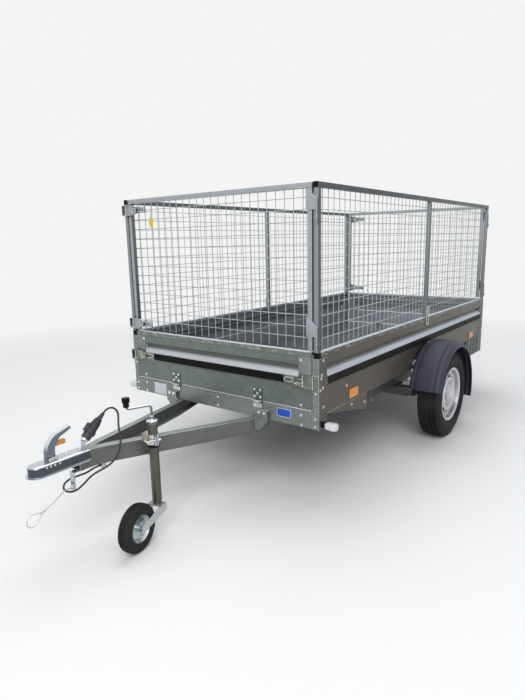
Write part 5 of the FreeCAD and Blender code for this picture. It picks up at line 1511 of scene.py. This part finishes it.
def tread_tree() -> Geometry:
    """Tree that sets slanted blocks round the x axis."""
    tree = Geometry("tread_row", {
        "Middle": 0.0, "Width": 0.02, "Length": 0.02, "Height": 0.008, "Crown": 0.289, "Count": 60,
        "Slant": 0.0, "Lean": 0.0})
    size = tree.vector(tree.value("Width"), tree.value("Length"), tree.value("Height"))
    cube = tree.add("GeometryNodeMeshCube", {"Size": size})
    turn = tree.vector(0.0, tree.value("Lean"), tree.value("Slant"))
    tilted = tree.add("GeometryNodeTransform", {"Geometry": cube.outputs[0], "Rotation": turn})
    rise = tree.math("SUBTRACT", tree.value("Crown"), tree.math("MULTIPLY", tree.value("Height"), 0.5))
    lifted = tree.add("GeometryNodeTransform", {
        "Geometry": tilted.outputs[0], "Translation": tree.vector(tree.value("Middle"), 0.0, rise)})
    points = tree.add("GeometryNodeMeshLine", {"Count": tree.value("Count"), "Offset": (0.0, 0.0, 0.0)})
    index = tree.add("GeometryNodeInputIndex").outputs[0]
    angle = tree.math("DIVIDE", tree.math("MULTIPLY", index, math.tau), tree.value("Count"))
    spun = tree.add("FunctionNodeEulerToRotation", {0: tree.vector(angle, 0.0, 0.0)})
    placed = tree.add("GeometryNodeInstanceOnPoints", {
        "Points": points.outputs[0], "Instance": lifted.outputs[0], "Rotation": spun.outputs[0]})
    tree.close(placed.outputs[0])
    return tree


def road_wheels(heads: Geometry) -> None:
    """Show both road wheels.

    Args:
        heads: Tree that makes the bolt heads.
    """
    wheel = RoadWheel()
    tyre = joined((wheel.carcass(), wheel.blocks(tread_tree())), "tyre")
    for label, mesh, look in (("tyre", tyre, Look.TYRE), ("rim", wheel.rim(), Look.SILVER)):
        moved(mesh, (wheel.centre_x, wheel.axle_y, wheel.radius))
        for side in ("left", "right"):
            name = f"{label}_{side}_made"
            placed = mesh if side == "left" else mirrored(mesh, name)
            show(name, placed, look, "wheel_" + side, (f"{label}_{side}",))
    spots = wheel.bolt_spots()
    for side, places in (("left", spots), ("right", both_sides(spots)[len(spots):])):
        Bolts("wheel_bolts_" + side, "wheel_" + side, Look.BOLT, places, 9.0, 13.0, 11.5).build(heads)


# Mudguards and small fittings

def swept_arc(profile: Sequence[Pair], centre: Pair, start: float, end: float,
              steps: int, name: str) -> Mesh:
    """Closed section turned through part of a circle about the x direction.

    Args:
        profile: Closed run of (x, radius) in millimetres.
        centre: Y and z of the circle's middle in millimetres.
        start: First angle in degrees from straight up, towards the rear.
        end: Last angle.
        steps: Facets along the arc.
        name: Name of the mesh.

    Returns:
        The strip with both ends closed.
    """
    rings = []
    for step in range(steps + 1):
        angle = math.radians(start + (end - start) * step / steps)
        rings.append([
            (x, centre[0] + r * math.sin(angle), centre[1] + r * math.cos(angle)) for x, r in profile])
    return skinned(rings, name)


@dataclass
class Mudguards:
    """Moulded mudguards with a raised middle, a groove on each side of it and a rolled lip."""

    gap: float = 12.0
    width: float = 203.0
    radius: float = 360.0
    wall: float = 3.0
    centre: Pair = (599.0, 295.0)
    front_angle: float = -75.5
    rear_angle: float = 105.3

    def section(self) -> list[Pair]:
        """Closed section of the left mudguard."""
        inner, r = BOX.half / MM + self.gap, self.radius
        outer = inner + self.width
        top = [
            (inner, r - 36), (inner, r - 9), (inner + 3, r - 5), (inner + 24, r - 4), (inner + 27, r - 8),
            (inner + 31, r - 8), (inner + 34, r - 1), (inner + 60, r), (outer - 70, r), (outer - 50, r - 2),
            (outer - 46, r - 9), (outer - 41, r - 9), (outer - 38, r - 5), (outer - 18, r - 10),
            (outer - 4, r - 23), (outer - 3, r - 35), (outer, r - 37), (outer, r - 41), (outer - 5, r - 41),
        ]
        run = rounded(top, 4.0, 3)
        under = []
        for index, (x, radius) in enumerate(run):
            before, after = run[max(index - 1, 0)], run[min(index + 1, len(run) - 1)]
            along = Vector((after[0] - before[0], after[1] - before[1]))
            across = Vector((along.y, -along.x)).normalized() * self.wall
            under.append((x + across.x, radius + across.y))
        under = [(min(max(x, inner + self.wall), outer - self.wall - 4), radius) for x, radius in under]
        return run + [under[index] for index in range(len(under) - 4, 2, -3)] + [(inner + self.wall, r - 36)]

    def build(self) -> None:
        """Show both mudguards."""
        left = swept_arc(self.section(), self.centre, self.front_angle, self.rear_angle, 72, "guard_left")
        show("guard_left", left, Look.GUARD, "chassis", ("mudguard_left",), 50.0)
        show("guard_right", mirrored(left, "guard_right"), Look.GUARD, "chassis", ("mudguard_right",), 50.0)


@dataclass
class Labels:
    """Blank labels on the front sill and a blank tag on the front gate."""

    blue: tuple[float, float, float, float] = (424.0, 461.0, 504.0, 500.0)
    border: tuple[float, float, float, float] = (421.0, 458.0, 507.0, 503.0)
    white: tuple[float, float, float, float] = (-496.0, 435.0, -393.0, 501.0)
    tag_middle: Pair = (-463.0, 1443.0)
    tag_steps: int = 28

    def build(self) -> None:
        """Show them."""
        front = BOX.front_y / MM
        blue = self.sticker(self.blue, front - 0.3)
        pale = [self.sticker(corners, front) for corners in (self.border, self.white)]
        show("blue_plate", blue, Look.LABEL_BLUE, "chassis")
        show("pale_plate", joined(pale, "pale_plate"), Look.LABEL_WHITE, "chassis")
        self.tag(front + 22.0)

    def sticker(self, corners: tuple[float, float, float, float], front: float) -> Mesh:
        """Thin plate with rounded corners between two (x, z) corners."""
        return plate(loop(rectangle(*corners), 4.0), front, front - 0.5, "sticker", 0.1)

    def tag(self, y: float) -> None:
        """Show the oval tag that hangs from a wire of the front gate."""
        x, z = self.tag_middle
        oval = []
        for step in range(self.tag_steps):
            angle = step * math.tau / self.tag_steps
            oval.append((x + 17 * math.cos(angle), z + 30 * math.sin(angle)))
        tie = wire([(x, y + 8, z + 44), (x, y - 4, z + 44), (x, y - 4, z + 20), (x, y + 3, z + 20)],
                   0.9, "tag_tie", 2)
        show("gate_tag", plate(oval, y, y - 1.2, "tag", 0.3), Look.LABEL_YELLOW, "front_gate")
        show("gate_tag_tie", tie, Look.ZINC, "front_gate")


@dataclass
class Toggle:
    """Over-centre toggle on a middle post, with its bail hooked under the rim face."""

    middle_y: float
    top: float = 72.0
    drop: float = 58.0
    half_width: float = 16.0
    bail: float = 2.9
    pin: float = 3.4
    body: float = 9.0

    def build(self) -> Mesh:
        """The left toggle as one mesh."""
        half, rim, y = BOX.half / MM, BOX.rim / MM, self.middle_y
        low, high = rim + 18, rim + self.top
        body = boxes((
            ((half - 1, y - self.body, low), (half + 4, y + self.body, high)),
            ((half + 1, y - self.body, low), (half + 11, y - 6.5, high)),
            ((half + 1, y + 6.5, low), (half + 11, y + self.body, high)),
            ((half - 1, y - self.half_width, rim + 30), (half + 3, y + self.half_width, high - 12)),
        ), "toggle", 0.9)
        x, hook = half + 0.3 + self.bail, rim - self.drop + self.bail
        run = (
            (-0.8, rim + 40), (-1, hook + 20), (-0.8, hook + 5), (0, hook), (0.8, hook + 5),
            (1, hook + 20), (0.8, rim + 40))
        bail = wire([(x, y + share * self.half_width, z) for share, z in run], self.bail, "toggle_bail")
        pin = wire([(x + 2, y - 14, rim + 38), (x + 2, y + 14, rim + 38)], self.pin, "toggle_pin")
        return joined((body, bail, pin), "toggle")


@dataclass
class RearLamps:
    """Rear lamp clusters: a black housing with a red and an orange lens."""

    width: float = 190.0

    def build(self) -> None:
        """Show both clusters."""
        low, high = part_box("rear_lamps")
        outer, base, top = high.x / MM, low.z / MM, high.z / MM
        start, end = low.y / MM, high.y / MM
        inner = outer - self.width
        housing = boxes((((inner, start, base), (outer, end - 9, top)),), "housing", 4.0)
        show("lamp_housing", paired(housing, "lamp_housing"), Look.TRIM, "chassis")
        for look, x0, x1, label, stands_for in (
                (Look.RED, inner + 3, outer - 78, "red", ("rear_lamps",)),
                (Look.ORANGE, outer - 76, outer - 3, "orange", ())):
            lens = boxes((((x0, end - 12, base + 3), (x1, end, top - 3)),), "lens", 5.0)
            show("lamp_lens_" + label, paired(lens, "lamp_lens_" + label), look, "chassis", stands_for)


@dataclass
class MarkerLamps:
    """White marker lamps at the front corners: a ribbed block that widens outwards."""

    inner: float = 690.0
    outer: float = 748.0
    middle_y: float = -784.0
    middle_z: float = 450.0

    def build(self) -> None:
        """Show both lamps."""
        made = []
        for x, reach in (
                (self.inner, 14.5), (self.inner + 12, 17.0), (self.outer - 10, 18.5), (self.outer, 15.5)):
            corners = loop(rectangle(-reach, -reach, reach, reach), 8.0)
            made.append([(x, self.middle_y + y, self.middle_z + z) for y, z in corners])
        lamps = paired(skinned(made, "marker"), "marker_blocks")
        show("marker_blocks", lamps, Look.CLEAR, "chassis", ("marker_lamps",), 40.0)


@dataclass
class JockeyDetails:
    """The jockey's outer tube, cap, ring, crank and knob, and its tyre with ribs."""

    wheel_radius: float = 107.5
    wheel_width: float = 56.0
    rim_radius: float = 61.0
    turn: float = 13.0
    ring_z: float = 428.0
    crank_aim: Pair = (-0.35, -0.937)
    crank_length: float = 112.0
    crank_bend: float = 12.0
    crank_drop: float = 54.0
    knob: tuple[Pair, ...] = ((0, 5), (0, 13), (20, 13), (22, 17), (42, 17), (44, 13), (44, 0.2))

    def build(self) -> None:
        """Show them."""
        low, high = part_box("jockey_outer_tube")
        x, y = (low.x + high.x) / 2 / MM, (low.y + high.y) / 2 / MM
        foot, top = low.z / MM, high.z / MM
        collar = top - 34
        tube = turned(rounded([(foot, 19.5), (foot, 22), (collar, 22), (collar, 19.5)], 0.8), 48, "tube")
        cap = turned(rounded([
            (collar - 4, 20), (collar - 4, 25.8), (collar + 11, 25.8), (collar + 13, 23), (collar + 14, 11),
            (top - 6, 10), (top, 8.5), (top, 5.2)], 1.2), 48, "cap")
        ring = turned(rounded([(0, 22.2), (0, 27), (12, 27), (12, 22.2)], 2.0), 40, "ring")
        for label, mesh, z, look, stands_for in (
                ("tube", tube, 0.0, Look.JOCKEY_TUBE, ("jockey_outer_tube",)),
                ("cap", cap, 0.0, Look.LEVER, ()), ("ring", ring, self.ring_z, Look.TRIM, ())):
            show("jockey_" + label, moved(upended(mesh), (x, y, z)), look, "chassis", stands_for)
        self.crank(x, y, top)
        self.tyre()

    def crank(self, x: float, y: float, top: float) -> None:
        """Show the crank and its knob.

        Args:
            x: Place of the tube's axis across the trailer.
            y: Its place along the trailer.
            top: Height of the tube's top.
        """
        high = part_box("jockey_crank")[1].z / MM
        level = high - self.crank_drop
        end = Vector((x, y)) + Vector(self.crank_aim) * self.crank_length
        back = Vector((x, y)) + Vector(self.crank_aim) * self.crank_bend
        arm = wire([(x, y, top - 8), (x, y, level - 9), (back.x, back.y, level), (end.x, end.y, level),
                    (end.x, end.y, high - 20)], 5.4, "arm")
        show("jockey_arm", arm, Look.LEVER, "chassis", ("jockey_crank",))
        knob = turned(rounded(self.knob, 2.2), 40, "knob")
        disc = turned(rounded([(0, 0.2), (0, 13), (0.5, 12.6), (0.5, 0.2)], 0.1), 40, "knob_top")
        for label, mesh, z, look in (
                ("knob", knob, high - self.knob[-1][0], Look.TRIM),
                ("knob_top", disc, high - 0.5, Look.KNOB)):
            show("jockey_" + label, moved(upended(mesh), (end.x, end.y, z)), look, "chassis")

    def tyre(self) -> None:
        """Show the tyre, with ribs round its tread."""
        half, r, seat = self.wheel_width / 2, self.wheel_radius, self.rim_radius + 0.3
        outer = [
            (-half + 6, seat), (-half + 2, seat + 4), (-half, seat + 12), (-half + 0.6, r - 18),
            (-half + 3, r - 15), (-half + 3.4, r - 8), (-half + 8, r - 2.6), (-12.5, r - 0.6),
            (-11.5, r - 4), (-9.5, r - 4), (-8.5, r - 0.2), (-1.6, r), (-0.9, r - 4), (0.9, r - 4), (1.6, r)]
        half_run = rounded(outer, 2.0, 2)
        mirrored_run = [(-px, pr) for px, pr in half_run[::-1] if px < -2.0]
        tyre = turned(half_run + mirrored_run, 64, "jockey_tyre_made")
        low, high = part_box("jockey_tyre")
        centre = (low + high) / 2
        tyre.transform(Matrix.Translation(centre) @ Matrix.Rotation(math.radians(self.turn), 4, "Z"))
        show("jockey_tyre_made", tyre, Look.TYRE, "jockey_wheel", ("jockey_tyre",))


@dataclass
class Coupling:
    """Small pieces at the coupling: wear indicator, the lever's ears and pins, and the plug's ribs."""

    grip_start: Point = (0.0, -1643.0, 506.7)
    grip_lean: float = 49.46
    grip_radius: float = 20.6
    grip_taper: float = 0.19
    first_rib: int = 72
    last_rib: int = 97
    rib_pitch: int = 5

    def build(self) -> None:
        """Show them."""
        base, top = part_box("coupling_lever")[0].y / MM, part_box("coupling_head")[1].z / MM
        marker = boxes((((-6, base + 14.5, top + 51), (6, base + 91, top + 72)),), "indicator", 3.0)
        show("wear_indicator", marker, Look.ORANGE, "chassis")
        pins = [wire([(-24, base + y, top + 7), (24, base + y, top + 7)], 4.2, "pin") for y in (8, 34)]
        ears = boxes([
            ((x, base + 2, top), (x + 3, base + 42, top + 16)) for x in (-20, 17)], "ears", 1.0)
        show("lever_ears", joined(pins + [ears], "lever_ears"), Look.ZINC, "chassis")
        self.plug_ribs()

    def plug_ribs(self) -> None:
        """Show the soft ribs round the plug's grip."""
        start, lean = Vector(self.grip_start), math.radians(self.grip_lean)
        axis = Vector((0.0, math.sin(lean), math.cos(lean)))
        made = []
        for along in range(self.first_rib, self.last_rib + 1, self.rib_pitch):
            radius = self.grip_radius - (along - 68) * self.grip_taper
            profile = [(0, radius - 2), (0, radius + 1.1), (2.6, radius + 1.0), (2.6, radius - 2)]
            ring = turned(rounded(profile, 0.8), 32, "rib")
            ring.transform(Vector((1, 0, 0)).rotation_difference(axis).to_matrix().to_4x4())
            ring.transform(Matrix.Translation((start + axis * along) * MM))
            made.append(ring)
        show("plug_ribs", joined(made, "plug_ribs"), Look.PLUG, "chassis")


# Stage

@dataclass
class Stage:
    """Floor, light and camera."""

    camera_place: Point = (1.9329, -2.8852, 1.3212)
    yaw: float = 37.626
    pitch: float = 11.527
    roll: float = -1.230
    lens: float = 27.271
    floor_size: float = 60.0
    floor_tone: float = 0.80
    sky_tone: float = 0.90
    sky_strength: float = 0.55
    fade_start: float = 2.6
    fade_end: float = 6.5
    # name, place, aim, side of the square in metres, power in watts
    lamps: tuple[tuple[str, Point, Point, float, float], ...] = (
        ("key", (3.5, -5.0, 5.0), (0.0, -0.5, 0.6), 4.0, 260.0),
        ("top", (-1.0, 1.0, 6.0), (0.0, 0.3, 0.5), 5.0, 200.0))

    def camera(self) -> None:
        """Stand the camera where the photograph was taken."""
        yaw, pitch, roll = (math.radians(angle) for angle in (self.yaw, self.pitch, self.roll))
        ahead = Vector((-math.sin(yaw) * math.cos(pitch), math.cos(yaw) * math.cos(pitch), -math.sin(pitch)))
        right = Vector((math.cos(yaw), math.sin(yaw), 0.0))
        up = right.cross(ahead)
        turned_right = right * math.cos(roll) + up * math.sin(roll)
        turned_up = up * math.cos(roll) - right * math.sin(roll)
        data = bpy.data.cameras.new("camera")
        data.lens = self.lens
        data.sensor_width = 36.0
        camera = bpy.data.objects.new("camera", data)
        bpy.context.scene.collection.objects.link(camera)
        turn = Matrix((turned_right, turned_up, -ahead)).transposed().to_4x4()
        camera.matrix_world = Matrix.Translation(self.camera_place) @ turn
        bpy.context.scene.camera = camera

    def floor(self) -> None:
        """Lay a plain pale floor."""
        side = self.floor_size / 2
        mesh = bpy.data.meshes.new("floor")
        corners = [(-side, -side, 0), (side, -side, 0), (side, side, 0), (-side, side, 0)]
        mesh.from_pydata(corners, [], [(0, 1, 2, 3)])
        mesh.materials.append(self.floor_material())
        floor = bpy.data.objects.new("floor", mesh)
        bpy.context.scene.collection.objects.link(floor)

    def seen(self, tree: bpy.types.NodeTree) -> Socket:
        """Whether a ray comes from the camera, a gloss or a clear piece."""
        path = tree.nodes.new("ShaderNodeLightPath")
        either = path.outputs["Is Camera Ray"]
        for label in ("Is Glossy Ray", "Is Transmission Ray"):
            node = tree.nodes.new("ShaderNodeMath")
            node.operation = "MAXIMUM"
            tree.links.new(either, node.inputs[0])
            tree.links.new(path.outputs[label], node.inputs[1])
            either = node.outputs[0]
        return either

    def floor_material(self) -> bpy.types.Material:
        """Pale floor that turns into the backdrop a few metres out."""
        shader = Shader("floor", (self.floor_tone,) * 3, 0.9)
        shader.bsdf.inputs["Specular IOR Level"].default_value = 0.1
        length = shader.add("ShaderNodeVectorMath", operation="LENGTH")
        shader.link(shader.coords, length.inputs[0])
        far = shader.window(length.outputs["Value"], self.fade_start, self.fade_end)
        glow = shader.add("ShaderNodeEmission")
        glow.inputs["Color"].default_value = (self.sky_tone,) * 3 + (1.0,)
        mix = shader.add("ShaderNodeMixShader")
        shader.link(shader.times(far, self.seen(shader.tree)), mix.inputs[0])
        shader.link(shader.bsdf.outputs[0], mix.inputs[1])
        shader.link(glow.outputs[0], mix.inputs[2])
        shader.link(mix.outputs[0], shader.tree.nodes["Material Output"].inputs["Surface"])
        return shader.material

    def sky(self) -> None:
        """Light the object evenly and show the camera and the gloss a pale backdrop."""
        world = bpy.data.worlds.new("studio")
        world.use_nodes = True
        bpy.context.scene.world = world
        tree = world.node_tree
        light = tree.nodes["Background"]
        light.inputs["Color"].default_value = (0.93, 0.96, 1.0, 1.0)
        light.inputs["Strength"].default_value = self.sky_strength
        backdrop = tree.nodes.new("ShaderNodeBackground")
        backdrop.inputs["Color"].default_value = (self.sky_tone,) * 3 + (1.0,)
        mix = tree.nodes.new("ShaderNodeMixShader")
        tree.links.new(self.seen(tree), mix.inputs[0])
        tree.links.new(light.outputs[0], mix.inputs[1])
        tree.links.new(backdrop.outputs[0], mix.inputs[2])
        tree.links.new(mix.outputs[0], tree.nodes["World Output"].inputs["Surface"])

    def lamp(self, name: str, place: Point, aim: Point, size: float, power: float) -> None:
        """Hang a square soft light.

        Args:
            name: Name of the light.
            place: Where it hangs.
            aim: Point that it faces.
            size: Side of the square in metres.
            power: Power in watts.
        """
        data = bpy.data.lights.new(name, "AREA")
        data.size = size
        data.energy = power
        lamp = bpy.data.objects.new(name, data)
        bpy.context.scene.collection.objects.link(lamp)
        lamp.location = place
        lamp.rotation_mode = "QUATERNION"
        lamp.rotation_quaternion = (Vector(aim) - Vector(place)).to_track_quat("-Z", "Y")

    def build(self) -> None:
        """Set the whole stage."""
        self.camera()
        self.floor()
        self.sky()
        for lamp in self.lamps:
            self.lamp(*lamp)
        bpy.context.scene.view_settings.view_transform = "Standard"


# Sheet metal whose folds and cut edges are rounded, with the body of each node
SOFT_NODES: dict[str, str] = {
    "side_panel_left": "chassis", "side_panel_right": "chassis", "side_gussets": "chassis",
    "front_sill": "chassis", "rear_sill": "chassis", "corner_posts": "chassis",
    "drawbar_left": "chassis", "drawbar_right": "chassis", "beam_brackets": "chassis",
    "front_lid": "front_lid", "rear_lid": "rear_lid", "jockey_clamp": "chassis",
    "jockey_fork": "jockey_fork", "side_trim": "chassis", "front_lid_trim": "front_lid",
    "rear_lid_trim": "rear_lid", "mesh_caps": "chassis",
}


def paint_nodes() -> None:
    """Give every CAD node its finish."""
    for look, names in NODE_LOOKS.items():
        for name in names:
            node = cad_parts[name]
            node.data.materials.clear()
            node.data.materials.append(look.material)


def main() -> None:
    """Build the scene and report each piece."""
    Stage().build()
    paint_nodes()
    wires, heads = wire_tree(), bolt_tree()
    MeshSides().build(wires)
    Gates().build(wires)
    LidFittings().build()
    road_wheels(heads)
    Mudguards().build()
    RearLamps().build()
    MarkerLamps().build()
    JockeyDetails().build()
    Coupling().build()
    Labels().build()
    for group in all_bolts():
        group.build(heads)
    looks = {name: look for look, names in NODE_LOOKS.items() for name in names}
    for node, body in SOFT_NODES.items():
        softened(node, looks[node], body)
    for cord in (CABLE, WIRE, WIRE_LOOP):
        piece = cord.build()
        LOG.info("%s: %d points", piece.name, len(cord.route))


if __name__ == "__main__":
    main()
